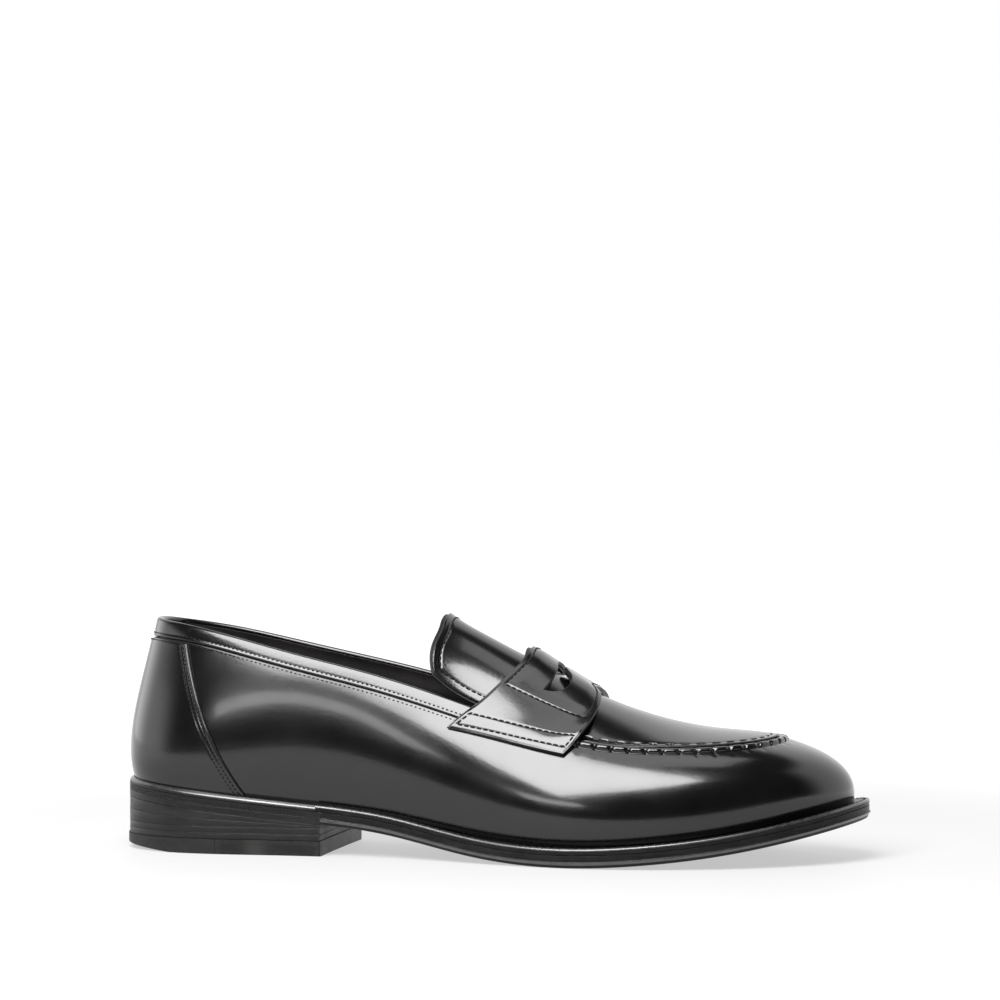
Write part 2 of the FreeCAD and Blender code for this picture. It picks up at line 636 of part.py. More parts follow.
def make_upper():
    parts = {}
    foot = 0.008               # wall level of the lowest edge, just above the welt
    seam = 0.012               # half the closing seam at the heel back, in stations
    level_gap = SEAM_GAP / 25  # the seam gap as a share of the wall's height

    def whole(a, b):
        t = mix(seam, N - seam, a)
        return t, mix(foot, vamp_top(t), 1 - (1 - b) ** 1.5)

    parts["vamp"] = layer(wall_out, whole, ridge, -OUTER_LEATHER, 161, 25)
    parts["vamp_margin"] = margin(GLUE + OUTER_LEATHER, GLUE, OUTER_LEATHER + MARGIN_GAP)

    def foxed(a, b):
        edge = mix(FOXING_FOOT, FOXING_HEAD, b)
        t = mix(-edge, edge, a)
        return t, mix(foot, band_level(round(fold(t), 4)) - 2 * level_gap, b)

    parts["heel_foxing"] = layer(wall_out, foxed, GLUE + FOXING_THICK, GLUE, 49, 17)

    def banded(a, b):
        t = mix(-COLLAR_FRONT, COLLAR_FRONT, a)
        return t, mix(band_level(round(fold(t), 4)), 1.0, b)

    parts["collar_band"] = layer(wall_out, banded, BAND_STEP, -OUTER_LEATHER, 97, 9)

    def span(t0, t1, v0, v1):
        return lambda a, b: (mix(t0, t1, a), mix(v0, v1, b))

    stay_under = -STAY_AT - STIFFENER_THICK
    parts["heel_counter"] = layer(wall_out, span(-COUNTER_FRONT, COUNTER_FRONT, 0.04, 0.80),
                                  -STAY_AT, stay_under, 49, 11)
    parts["toe_puff"] = layer(wall_out, span(PUFF_BACK, N - PUFF_BACK, 0.05, 0.86),
                              -STAY_AT, stay_under, 41, 11)
    parts["side_stays"] = Part.makeCompound([
        layer(wall_out, span(SIDE_BACK, SIDE_FRONT, 0.05, 0.80), -STAY_AT, stay_under, 31, 9),
        layer(wall_out, span(N - SIDE_FRONT, N - SIDE_BACK, 0.05, 0.80), -STAY_AT, stay_under, 31, 9)])

    def lining_over(t, v):
        return -mix(LINING_AT, STAY_AT, smooth(v, 0.84, 0.97))

    def lining_under(t, v):
        return lining_over(t, v) - LINING_THICK

    base, collar, front_top = 0.07, 0.995, 0.93
    parts["quarter_lining"] = layer(wall_out, span(-LINING_JOINT, LINING_JOINT, base, collar),
                                    lining_over, lining_under, 97, 17)
    front = LINING_JOINT + 0.03
    parts["vamp_lining"] = layer(wall_out, span(front, N - front, base, front_top),
                                 lining_over, lining_under, 97, 17)
    apron_box = (168.0, 284.0, -48.0, 54.0)

    def sheet(over, under):
        x0, x1, y0, y1 = apron_box
        place = lambda a, b: (mix(x0, x1, a) * STRETCH, mix(y0, y1, b) * WIDEN)
        return layer(apron_out, place, over, under, 25, 25)

    root = (TONGUE_HINGE_X + TONGUE_CLEAR) * STRETCH
    behind = block(root, 400, -200, 200, -50, 200)
    lining_at = -OUTER_LEATHER - GLUE
    apron = sheet(0, -OUTER_LEATHER).common(prism(inset_ring(TOP, APRON_INSET)))
    lining = sheet(lining_at, lining_at - LINING_THICK)
    lining = lining.common(prism(inset_ring(TOP, APRON_INSET + APRON_LINING_INSET)))
    parts["apron"] = apron.common(behind)
    parts["apron_lining"] = lining.common(behind)

    station = TONGUE_ROWS[0][0] - TONGUE_ROWS[1][0]
    front = (TONGUE_ROWS[1][0] - TONGUE_HINGE_X) / station

    def tongue_place(reach):
        """Covers the tongue and a margin of some millimetres round it."""
        margin_w = 0.02 - reach * 0.01

        def place(a, b):
            w = mix(margin_w, 1 - margin_w, b)
            return mix(front, tongue_end(w) + reach / station, a), w
        return place

    parts["tongue"] = layer(tongue_out, tongue_place(0), 0, -OUTER_LEATHER, 17, 33)
    parts["tongue_lining"] = layer(tongue_out, tongue_place(TONGUE_LINING_REACH), lining_at,
                                   lining_at - LINING_THICK, 17, 33)
    return parts


def make_strap(apron):
    """Saddle strap with its penny slot, and its backing, pared where it beds on the apron."""
    face = strap_surface()
    u0, u1, v0, v1 = face.bounds()

    def strap_out(s, p, depth):
        u, v = mix(u0, u1, s), mix(v0, v1, p)
        n = face.normal(u, v)
        return face.value(u, v) + (n if n.dot(Vec(0, p - 0.5, 0.4)) > 0 else n * -1.0) * depth

    def slot_edge(g):
        """Depth of the slot's front edge; g runs from the crest (0) to the slot's tip (1)."""
        if g > LOBE_AT:
            return SLOT_DEPTH * math.sqrt(max(0.0, 1 - ((g - LOBE_AT) / (1 - LOBE_AT)) ** 4))
        return mix(SLOT_CUSP, SLOT_DEPTH, smooth(g, -0.10, LOBE_AT))

    count = 24
    rear = [strap_out(SLOT_REAR, mix(*SLOT_SPAN, k / 8), 0) for k in range(9)]
    front = []
    for k in range(count + 1):
        p = k / count
        front.append(strap_out(SLOT_REAR + slot_edge(abs(2 * p - 1)), mix(*SLOT_SPAN, p), 0))
    flat = [Vec(p.x, p.y, 40) for p in rear + front[-2:0:-1]]
    slot = Part.Face(Part.makePolygon(flat + flat[:1])).extrude(Vec(0, 0, 80))
    strap = layer(strap_out, lambda a, b: (a, b), 0, -STRAP_THICK, 9, 81)
    at = -STRAP_THICK - GLUE
    backing = layer(strap_out, lambda a, b: (a, mix(*BACKING_SPAN, b)), at, at - STRAP_BACKING, 9, 41)
    return {"saddle_strap": strap.cut(slot), "strap_backing": backing.cut(slot).cut(apron)}


def make_welt_thread():
    """Stitches along the welt, in front of the heel."""
    points = inset_ring(OUTLINE, WELT_SEAM_INSET, 1600)
    points.append(points[0])
    run, stitches = 0.0, []
    half = WELT_PITCH * WELT_STITCH_SHARE / 2
    for a, b in zip(points, points[1:]):
        run += (b - a).Length
        if run > WELT_PITCH and b.x > HEEL_LENGTH:
            along = (b - a).normalize()
            ends = [b - along * half, b + along * half]
            for p in ends:
                p.z = welt_top(p.x) + WELT_THREAD + GLUE
            axis = ends[1] - ends[0]
            stitches.append(Part.makeCylinder(WELT_THREAD, axis.Length, ends[0], axis))
            run = 0.0
    return Part.makeCompound(stitches)


def ridge_stitch(t):
    """Thread arched over the vamp's rolled edge at station t."""
    up = normal(wall, t, RIDGE_LEVEL, 1e-4, ring(OUT, t) + UP * 0.4)
    across = wall(t, RIDGE_LEVEL + 0.02) - wall(t, RIDGE_LEVEL - 0.02)
    across.normalize()
    centre = wall_out(t, RIDGE_LEVEL, RIDGE_HEIGHT + APRON_THREAD + THREAD_CLEAR) - up * THREAD_ARCH
    lean = math.radians((180 - THREAD_SWEEP) / 2)
    start = across * math.cos(lean) + up * math.sin(lean)
    axis = across.cross(up)
    axis.normalize()
    second = axis.cross(start)
    frame = FreeCAD.Matrix()
    frame.A11, frame.A21, frame.A31 = start
    frame.A12, frame.A22, frame.A32 = second
    frame.A13, frame.A23, frame.A33 = axis
    frame.A14, frame.A24, frame.A34 = centre
    bar = Part.makeTorus(THREAD_ARCH, APRON_THREAD, Vec(0, 0, 0), UP, 0, 360, THREAD_SWEEP)
    bar.Placement = FreeCAD.Placement(frame)
    return bar


def make_apron_thread():
    bars, last, t = [], None, THREAD_START
    while t < N - THREAD_START:
        here = wall(t, RIDGE_LEVEL)
        if last is None or (here - last).Length > APRON_PITCH:
            last = here
            bars.append(ridge_stitch(t))
        t += 0.01
    return Part.makeCompound(bars)


def make_threads():
    return {"welt_thread": make_welt_thread(), "apron_thread": make_apron_thread()}


def build():
    os.makedirs("parts", exist_ok=True)
    parts = {}
    for make in (make_sole, make_upper, make_threads):
        parts.update(make())
    parts.update(make_strap(parts["apron"]))
    footprint = Part.makeCompound([parts["outsole"], parts["top_piece_rubber"], parts["top_piece_leather"]])
    box = footprint.optimalBoundingBox(False)
    shift = Vec(-(box.XMin + box.XMax) / 2, -(box.YMin + box.YMax) / 2, -box.ZMin)
    for name, shape in parts.items():
        shape = shape.copy()
        shape.translate(shift)
        shape.exportStep("parts/%s.step" % name)


if __name__ == "__main__":
    build()
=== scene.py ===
"""Penny loafer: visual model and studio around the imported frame."""
import bpy
import math
import numpy as np
from mathutils import Matrix, Vector


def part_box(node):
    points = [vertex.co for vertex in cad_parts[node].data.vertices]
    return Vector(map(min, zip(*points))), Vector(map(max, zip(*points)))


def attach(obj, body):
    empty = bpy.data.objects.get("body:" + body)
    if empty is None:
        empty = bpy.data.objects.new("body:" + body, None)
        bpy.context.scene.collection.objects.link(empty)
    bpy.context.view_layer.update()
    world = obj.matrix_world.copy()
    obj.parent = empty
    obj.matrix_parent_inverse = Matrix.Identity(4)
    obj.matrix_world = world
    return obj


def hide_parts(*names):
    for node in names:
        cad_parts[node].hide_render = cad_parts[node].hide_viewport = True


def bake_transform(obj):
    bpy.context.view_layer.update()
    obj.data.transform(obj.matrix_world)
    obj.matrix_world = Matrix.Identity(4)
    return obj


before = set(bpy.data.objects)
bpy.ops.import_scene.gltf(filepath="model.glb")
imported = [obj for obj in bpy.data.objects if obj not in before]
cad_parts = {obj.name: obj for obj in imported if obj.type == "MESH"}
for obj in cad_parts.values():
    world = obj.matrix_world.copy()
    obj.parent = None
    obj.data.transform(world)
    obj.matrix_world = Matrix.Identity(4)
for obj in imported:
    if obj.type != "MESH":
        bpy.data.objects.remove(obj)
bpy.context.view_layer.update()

# ------------------------------------------------------------------ the last, in millimetres from the heel's back
SOLE_OUTLINE = [
    (-3, 0), (2, -26.5), (33, -38.5), (73, -34.5), (113, -36.5), (153, -47.5), (192, -57.5),
    (230, -55), (266, -43), (294, -22), (308, 6), (296, 32), (264, 47), (226, 54),
    (186, 50), (147, 35.5), (108, 27.5), (70, 30.5), (32, 34.5), (1.5, 25.5),
]
WELT_REACH = [
    3.5, 3.7, 4, 4, 4.5, 5.2, 5.5, 5.8, 6.4, 7.2, 7.6, 7.2, 6.4, 5.8, 5.5, 5, 4.2, 4, 4, 3.9,
]
TOP_LINE = [
    (9.5, 0, 94.5), (12, -16, 94), (37, -25.5, 91), (74, -28, 81), (112, -29, 73),
    (152, -32.5, 60.5), (190, -37.5, 48), (222, -34, 0), (250, -27, 0), (265.5, -13, 0),
    (269.5, 6, 0), (263, 24, 0), (246, 34, 0), (220, 38.5, 0), (189, 39.5, 49),
    (151, 33, 62), (111, 29, 73.5), (73, 28, 81), (36, 25.5, 89.6), (11.5, 16, 93),
]
WALL_SHAPE = [
    (7, 16, 4.5, 25), (5.5, 17, 6, 25), (4.5, 18, 8, 25), (4.5, 16, 7.5, 21), (5, 15, 7.5, 18),
    (6, 14.5, 10, 13), (7, 14, 12, 10), (6.5, 13, 12.5, 7), (5, 11, 13, 6), (3.5, 12.5, 19, 5),
    (2.5, 13, 23, 5), (3.5, 12.5, 19, 5), (5, 11, 13, 6), (6.5, 13, 12.5, 7), (7, 15, 12, 11),
    (6.5, 16, 10.5, 14), (6, 17, 8.5, 18), (5, 18, 8, 21), (4.5, 18, 8, 25), (5, 18, 6, 25),
]
PROFILE_RISE = [24.6, 20.6, 16.9, 13.5, 10.8, 2.3, -0.4, 1.4, 5.5, 13.1, 22.4]
APRON_CREST = [89, 79.6, 71.2, 63.6, 58.0, 53.8, 51.2, 50.4, 48.6, 44]
APRON_DROP = [0.020, 0.0185, 0.0155, 0.0122, 0.0096, 0.0066, 0.0050, 0.0048, 0.0052, 0.0055]
APRON_MIDDLE = [0, 0, 0.5, 1, 1.6, 2.3, 3, 3.9, 5, 6]
TONGUE_ROWS = [
    (190, 29, 50, 66.6), (176, 28.5, 53.5, 74.2), (162, 28, 57.0, 80.5), (148, 27, 61.1, 87.8),
    (134, 26.5, 69.4, 94.8), (120, 25.5, 85.9, 108.2),
]
TONGUE_ARCH, TONGUE_END, TONGUE_FLARE, TONGUE_CORNER = 0.55, 3.05, 0.234, 0.26
HINGE_X = 168.6
COLLAR_FRONT = 5.15
FOXING_HEAD, FOXING_FOOT = 1.67, 2.55
STRAP_CREST_X = (167.9, 193.5)
STRAP_TOP = ((5.0, 6.16), (15.0, 13.84))
STRAP_FOOT = ((4.75, 6.0), (15.25, 14.0))
STRAP_FOOT_LEVEL, STRAP_FOOT_BOW = (0.767, 0.804), 0.012
STRAP_REAR_LIFT, STRAP_FRONT_LIFT, STRAP_ARCH = 5.5, 3.2, 1.73
STRAP_SWEEP = ((2.4, 4.9), (2.4, 1.0))
SLOT_SPAN, SLOT_REAR, SLOT_DEPTH, SLOT_CUSP, LOBE_AT = (0.268, 0.732), 0.39, 0.215, 0.115, 0.4
LEATHER, LINING, STRAP_THICK = 1.3, 0.9, 1.6
RIDGE_HEIGHT, RIDGE_LEVEL = 1.6, 0.957
WELT_THICK, SOLE_THICK = 2.6, 5.1
APRON_PITCH = 6.6
N = len(SOLE_OUTLINE)
UP = np.array([0.0, 0.0, 1.0])


def basis(u):
    return ((1 - u) ** 3 / 6, (3 * u ** 3 - 6 * u ** 2 + 4) / 6,
            (-3 * u ** 3 + 3 * u ** 2 + 3 * u + 1) / 6, u ** 3 / 6)


def ring(points, t):
    """Points at stations t of a closed uniform cubic B-spline."""
    t = np.asarray(t, float)
    i = np.floor(t).astype(int)
    return sum(w[..., None] * points[(i + k - 1) % len(points)] for k, w in enumerate(basis(t - i)))


def chain(values, at):
    """Values at stations of an open uniform cubic B-spline."""
    values, at = np.asarray(values, float), np.asarray(at, float)
    i = np.clip(np.floor(at).astype(int), 1, len(values) - 3)
    total = 0
    for k, w in enumerate(basis(at - i)):
        total = total + values[i + k - 1] * (w[..., None] if values.ndim > 1 else w)
    return total


def bezier(p, v):
    v = np.asarray(v, float)[..., None]
    w = 1 - v
    return p[0] * w ** 3 + p[1] * (3 * w * w * v) + p[2] * (3 * w * v * v) + p[3] * v ** 3


def unit(a):
    return a / np.maximum(np.linalg.norm(a, axis=-1, keepdims=True), 1e-12)


def smooth(x, low, high):
    x = np.clip((np.asarray(x, float) - low) / (high - low), 0, 1)
    return x * x * (3 - 2 * x)


def mix(a, b, share):
    return a + (b - a) * share


def fold(t):
    t = np.mod(t, N)
    return np.minimum(t, N - t)


def rise(x):
    return chain(PROFILE_RISE, (np.asarray(x, float) + 25) / 35)


LOWEST = float(rise(np.linspace(0, 305, 601)).min())


def welt_top(x):
    return rise(x) - LOWEST + WELT_THICK + SOLE_THICK


def outward(points, t):
    along = ring(points, t + 0.001) - ring(points, t - 0.001)
    along[..., 2] = 0
    along = unit(along)
    return np.stack([along[..., 1], -along[..., 0], 0 * along[..., 0]], -1)


def apron_height(x, y):
    at = (np.asarray(x, float) - 150) / 15
    return chain(APRON_CREST, at) - chain(APRON_DROP, at) * (y - chain(APRON_MIDDLE, at)) ** 2


OUTLINE = np.array([(x, y, 0) for x, y in SOLE_OUTLINE], float)
OUT = outward(OUTLINE, np.arange(N, dtype=float))
FEATHER = OUTLINE - OUT * np.array(WELT_REACH)[:, None]
FEATHER[:, 2] = welt_top(FEATHER[:, 0])
TOP = np.array([(x, y, z if z else float(apron_height(x, y))) for x, y, z in TOP_LINE], float)
SHAPE = np.array(WALL_SHAPE, float)
WALL_LOW = FEATHER + OUT * SHAPE[:, :1] + UP * SHAPE[:, 1:2]
WALL_HIGH = TOP + OUT * SHAPE[:, 2:3] - UP * SHAPE[:, 3:4]
ORIGIN = np.array([
    ring(OUTLINE, np.linspace(0, N, 4000))[:, 0].max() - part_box("outsole")[1][0] * 1000,
    ring(OUTLINE, np.linspace(0, N, 4000))[:, 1].max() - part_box("outsole")[1][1] * 1000, 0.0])


def wall(t, v):
    """Outer face of the vamp and quarters: station t, v from the welt (0) to the top line (1)."""
    return bezier([ring(row, t) for row in (FEATHER, WALL_LOW, WALL_HIGH, TOP)], v)


def face_normal(surface, a, b, step, towards):
    n = unit(np.cross(surface(a + step, b) - surface(a - step, b), surface(a, b + step) - surface(a,
                                                                                                  b - step)))
    return n * np.where((n * towards).sum(-1, keepdims=True) < 0, -1.0, 1.0)


def wall_normal(t, v):
    return face_normal(wall, t, v, 1e-4, ring(OUT, t) + UP * 0.4)


def wall_out(t, v, depth):
    t, v = np.broadcast_arrays(np.asarray(t, float), np.asarray(v, float))
    return wall(t, v) + wall_normal(t, v) * np.asarray(depth, float)[..., None]


def apron_face(x, y):
    return np.stack(np.broadcast_arrays(x, y, apron_height(x, y)), -1)


def apron_normal(x, y):
    return face_normal(apron_face, x, y, 1e-2, UP)


def band_table():
    """Wall level of the collar band's lower edge, per station."""
    t = np.linspace(0, COLLAR_FRONT + 1, 60)
    v = np.linspace(1, 0.4, 240)
    p = wall(t[:, None] + 0 * v, v + 0 * t[:, None])
    gone = np.concatenate([0 * t[:, None], np.cumsum(np.linalg.norm(np.diff(p, axis=1), axis=-1), 1)], 1)
    width = mix(8.2, 6.7, smooth(t, 0, 2))
    return t, np.array([np.interp(w, g, v) for w, g in zip(width, gone)])


BAND_T, BAND_V = band_table()


def band_level(t):
    return np.interp(fold(t), BAND_T, BAND_V)


def tongue_face(q, w):
    rows = []
    for x, half, side, crest in TONGUE_ROWS:
        up = (crest - side) / 0.75
        narrow = half * (1 - TONGUE_ARCH)
        rows.append([(x, -half, side), (x, -narrow, side + up), (x, narrow, side + up), (x, half, side)])
    rows = np.array(rows, float)
    return bezier([chain(rows[:, k], q + 1) for k in range(4)], w)


def tongue_normal(q, w):
    towards = np.stack([0 * w, w - 0.5, 0 * w + 0.3], -1)
    return face_normal(tongue_face, q, w, 1e-3, towards)


def tongue_end(w):
    side = abs(2 * w - 1)
    return TONGUE_END + TONGUE_FLARE * smooth(side, 0.4, 1) - TONGUE_CORNER * side ** 8


# ------------------------------------------------------------------ the strap's face
def spline(points, count):
    """Natural cubic spline through points, read at evenly spaced arc fractions."""
    points = np.asarray(points, float)
    s = np.concatenate([[0], np.cumsum(np.linalg.norm(np.diff(points, axis=0), axis=1))])
    h = np.diff(s)
    n = len(points)
    a = np.zeros((n, n))
    b = np.zeros((n, 3))
    a[0, 0] = a[-1, -1] = 1
    for i in range(1, n - 1):
        a[i, i - 1:i + 2] = h[i - 1], 2 * (h[i - 1] + h[i]), h[i]
        b[i] = 6 * ((points[i + 1] - points[i]) / h[i] - (points[i] - points[i - 1]) / h[i - 1])
    m = np.linalg.solve(a, b)
    x = np.linspace(0, s[-1], count)
    i = np.clip(np.searchsorted(s, x) - 1, 0, n - 2)
    t0, t1, w = (x - s[i])[:, None], (s[i + 1] - x)[:, None], h[i][:, None]
    return (m[i] * t1 ** 3 + m[i + 1] * t0 ** 3) / (6 * w) \
        + (points[i] / w - m[i] * w / 6) * t1 + (points[i + 1] / w - m[i + 1] * w / 6) * t0


def strap_guides(s):
    seat = STRAP_THICK + 0.6
    x = mix(*STRAP_CREST_X, s)
    crest = np.array([x, 0, float(apron_height(x, 0.0)) + mix(STRAP_REAR_LIFT, STRAP_FRONT_LIFT, s)])
    sides = []
    for tops, feet, sweep in zip(STRAP_TOP, STRAP_FOOT, STRAP_SWEEP):
        t_top, t_foot = np.array(mix(*tops, s)), np.array(mix(*feet, s))
        v_foot = mix(*STRAP_FOOT_LEVEL, s) + STRAP_FOOT_BOW * 4 * s * (1 - s)
        over = unit(face_normal(wall, t_top, np.array(1.0), 1e-4, UP) + UP * 0.6)
        edge = wall(t_top, 1.0) + over * (seat + float(ridge_fade(t_top)))
        side = []
        for g in (0.28, 0.55, 0.8):
            fall = g ** STRAP_ARCH
            swing = mix(*sweep, s) * 4 * g * (1 - g)
            side.append(np.array([mix(crest[0], edge[0], fall) + swing, mix(crest[1], edge[1], g),
                                  mix(crest[2], edge[2], fall)]))
        side.append(edge)
        side.append(wall_out(mix(t_top, t_foot, 0.5), mix(1, v_foot, 0.5), seat))
        side.append(wall_out(t_foot, v_foot, STRAP_THICK + 0.25))
        sides.append(side)
    return sides[0][::-1] + [crest] + sides[1]


def ridge_fade(t):
    return RIDGE_HEIGHT * smooth(fold(t), 5.8, 6.2)


STRAP_S = np.linspace(0, 1, 33)
STRAP_P = np.linspace(0, 1, 241)
STRAP = np.array([spline(strap_guides(s), len(STRAP_P)) for s in STRAP_S])


def strap_face(s, p):
    """The strap's outer face by cubic-smooth table look-up: s rear to front, p outer to inner tab."""
    def pieces(x, count):
        x = np.clip(np.asarray(x, float), 0, 1) * (count - 1)
        i = np.clip(np.floor(x).astype(int), 0, count - 2)
        f = x - i
        w = (-0.5 * f + f ** 2 - 0.5 * f ** 3, 1 - 2.5 * f ** 2 + 1.5 * f ** 3,
             0.5 * f + 2 * f ** 2 - 1.5 * f ** 3, -0.5 * f ** 2 + 0.5 * f ** 3)
        return [(np.clip(i + k - 1, 0, count - 1), w[k]) for k in range(4)]
    s, p = np.broadcast_arrays(s, p)
    total = 0
    for i, wi in pieces(s, len(STRAP_S)):
        for k, wk in pieces(p, len(STRAP_P)):
            total = total + STRAP[i, k] * (wi * wk)[..., None]
    return total


def strap_normal(s, p):
    s, p = np.broadcast_arrays(np.asarray(s, float), np.asarray(p, float))
    towards = np.stack([0 * p, p - 0.5, 0 * p + 0.4], -1)
    sa, pa = np.clip(s, 2e-3, 1 - 2e-3), np.clip(p, 2e-3, 1 - 2e-3)
    return face_normal(strap_face, sa, pa, 1.5e-3, towards)


# ------------------------------------------------------------------ mesh helpers
def make(name, verts, faces, mats, slots=None, uv=None, body="shoe", slot="upper_leather", replaces=(),
         smooth_on=True):
    """Mesh object from millimetre points; it rides on a body. The slot argument is not used."""
    mesh = bpy.data.meshes.new(name)
    mesh.from_pydata(((np.asarray(verts) - ORIGIN) / 1000).tolist(), [], faces)
    for m in mats:
        mesh.materials.append(m)
    if slots is not None:
        mesh.polygons.foreach_set("material_index", slots)
    mesh.polygons.foreach_set("use_smooth", [smooth_on] * len(mesh.polygons))
    if uv is not None:
        layer = mesh.uv_layers.new(name="UVMap")
        index = np.empty(len(mesh.loops), int)
        mesh.loops.foreach_get("vertex_index", index)
        layer.data.foreach_set("uv", np.asarray(uv, float)[index].ravel())
    mesh.update()
    obj = bpy.data.objects.new(name, mesh)
    bpy.context.scene.collection.objects.link(obj)
    if body:
        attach(obj, body)
    if replaces:
        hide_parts(*replaces)
    return obj


def quads(na, nb, closed=False, start=0):
    faces = []
    for i in range(na if closed else na - 1):
        a, b = start + i * nb, start + ((i + 1) % na) * nb
        faces += [(a + k, b + k, b + k + 1, a + k + 1) for k in range(nb - 1)]
    return faces


def shell(verts, normals, faces, thick, bulge=0.35, square=0.65, steps=6, uv=None):
    """Closes a sheet into a solid skin of some thickness, with rounded rims at every open edge.

    Returns verts, faces, face slots (0 outside, 1 rim, 2 inside) and uv.
    """
    verts, normals = np.asarray(verts, float), np.asarray(normals, float)
    n = len(verts)
    thick = np.broadcast_to(np.asarray(thick, float), (n,))
    f = faces[0]
    flat = np.cross(verts[f[1]] - verts[f[0]], verts[f[2]] - verts[f[0]])
    if np.dot(flat, normals[f[0]]) < 0:
        faces = [tuple(reversed(face)) for face in faces]
    seen = {}
    for face in faces:
        for a, b in zip(face, face[1:] + face[:1]):
            if (b, a) in seen:
                del seen[(b, a)]
            else:
                seen[(a, b)] = True
    out_dir = {}
    for a, b in seen:
        o = np.cross(verts[b] - verts[a], normals[a])
        o = o / max(np.linalg.norm(o), 1e-9)
        for k in (a, b):
            out_dir[k] = out_dir.get(k, 0) + o
    all_v = [verts, verts - normals * thick[:, None]]
    all_f = list(faces) + [tuple(reversed([i + n for i in face])) for face in faces]
    slots = [0] * len(faces) + [2] * len(faces)
    rim = sorted(out_dir)
    place = {k: j for j, k in enumerate(rim)}
    base = 2 * n
    o = unit(np.array([out_dir[k] for k in rim]))
    v, nn, th = verts[rim], normals[rim], thick[rim][:, None]
    for j in range(1, steps):
        angle = math.pi * j / steps
        c, s = math.cos(angle), math.sin(angle)
        c, s = math.copysign(abs(c) ** square, c), s ** square
        all_v.append(v - nn * th * (0.5 - 0.5 * c) + o * (bulge * s))
    count = len(rim)
    level = lambda k, j: k if j == 0 else (k + n if j == steps else base + (j - 1) * count + place[k])
    for a, b in seen:
        for j in range(steps):
            all_f.append((level(b, j), level(a, j), level(a, j + 1), level(b, j + 1)))
            slots.append(1)
    if uv is not None:
        uv = np.concatenate([uv, uv] + [np.asarray(uv)[rim]] * (steps - 1))
    return np.concatenate(all_v), all_f, slots, uv


def lengths_uv(grid):
    """Arc-length texture coordinates, in metres, of a grid of points."""
    a = np.concatenate([0 * grid[:1, :, 0], np.cumsum(np.linalg.norm(np.diff(grid, axis=0), axis=-1), 0)])
    b = np.concatenate([0 * grid[:, :1, 0], np.cumsum(np.linalg.norm(np.diff(grid, axis=1), axis=-1), 1)], 1)
    return np.stack([a, b], -1).reshape(-1, 2) / 1000


def sheet_piece(name, grid, normals, thick, mats, closed=False, **kw):
    rim = {k: kw.pop(k) for k in ("bulge", "square", "steps") if k in kw}
    na, nb = grid.shape[:2]
    v, f, s, uv = shell(grid.reshape(-1, 3), normals.reshape(-1, 3), quads(na, nb, closed),
                        thick if np.isscalar(thick) else np.asarray(thick).reshape(-1),
                        uv=lengths_uv(grid), **rim)
    return make(name, v, f, mats, s, uv, **kw)


def resample(path, normals, pitch, closed=False):
    """Points a pitch apart along a dense path, with direction and normal."""
    path, normals = np.asarray(path, float), np.asarray(normals, float)
    if closed:
        path, normals = np.concatenate([path, path[:1]]), np.concatenate([normals, normals[:1]])
    s = np.concatenate([[0], np.cumsum(np.linalg.norm(np.diff(path, axis=0), axis=1))])
    count = max(2, int(round(s[-1] / pitch)))
    x = (np.arange(count) + 0.5) * s[-1] / count
    at = lambda q, a: np.stack([np.interp(q, s, a[:, k]) for k in range(3)], -1)
    step = s[-1] / count * 0.5
    p = at(x, path)
    d = unit(at(np.minimum(x + step, s[-1]), path) - at(np.maximum(x - step, 0), path))
    n = unit(at(x, normals))
    n = unit(n - d * (n * d).sum(-1, keepdims=True))
    return p, d, n, s[-1] / count


def stitches(name, runs, mat, pitch=2.7, fill=0.80, radius=0.36, proud=0.22, slant=0.0, arch=0.30, **kw):
    """Thread stitches along runs of (path, normals): each an arched bead whose ends dive into the leather."""
    verts, faces = [], []
    rings_, sides = 9, 8
    for path, normals, closed in runs:
        p, d, n, step = resample(path, normals, pitch, closed)
        b = np.cross(n, d)
        if slant:
            d = unit(d + b * slant)
            b = np.cross(n, d)
        half = step * fill / 2
        for i in range(len(p)):
            start = len(verts) * 1
            for j in range(rings_):
                f = j / (rings_ - 1) * 2 - 1
                r = radius * (1 - abs(f) ** 4) ** 0.5 if abs(f) < 1 else radius * 0.05
                r = max(r, radius * 0.25)
                centre = p[i] + d[i] * (f * half) + n[i] * (proud - arch * f * f)
                for k in range(sides):
                    angle = 2 * math.pi * k / sides
                    verts.append(centre + b[i] * (r * math.cos(angle)) + n[i] * (r * math.sin(angle)))
            for j in range(rings_ - 1):
                for k in range(sides):
                    a0, a1 = start + j * sides + k, start + j * sides + (k + 1) % sides
                    faces.append((a0, a1, a1 + sides, a0 + sides))
            faces.append(tuple(range(start + sides - 1, start - 1, -1)))
            last = start + (rings_ - 1) * sides
            faces.append(tuple(range(last, last + sides)))
    return make(name, np.array(verts), faces, [mat], **kw)


def sample_gap(surface, a, b, step_a=0.0, step_b=0.0):
    """Millimetres travelled on a surface per unit of one of its parameters."""
    return np.linalg.norm(surface(a + step_a, b + step_b) - surface(a - step_a, b - step_b), axis=-1) \
        / (2 * (step_a + step_b))


def wall_down(t, distance):
    """Wall level at some millimetres below the top line."""
    steep = sample_gap(wall, np.asarray(t, float), np.array(0.97), step_b=0.03)
    return 1 - distance / steep


def wall_row(t, v, depth):
    """Path and normals along the wall, for a row of stitches."""
    return wall_out(t, v, depth), wall_normal(t, v)


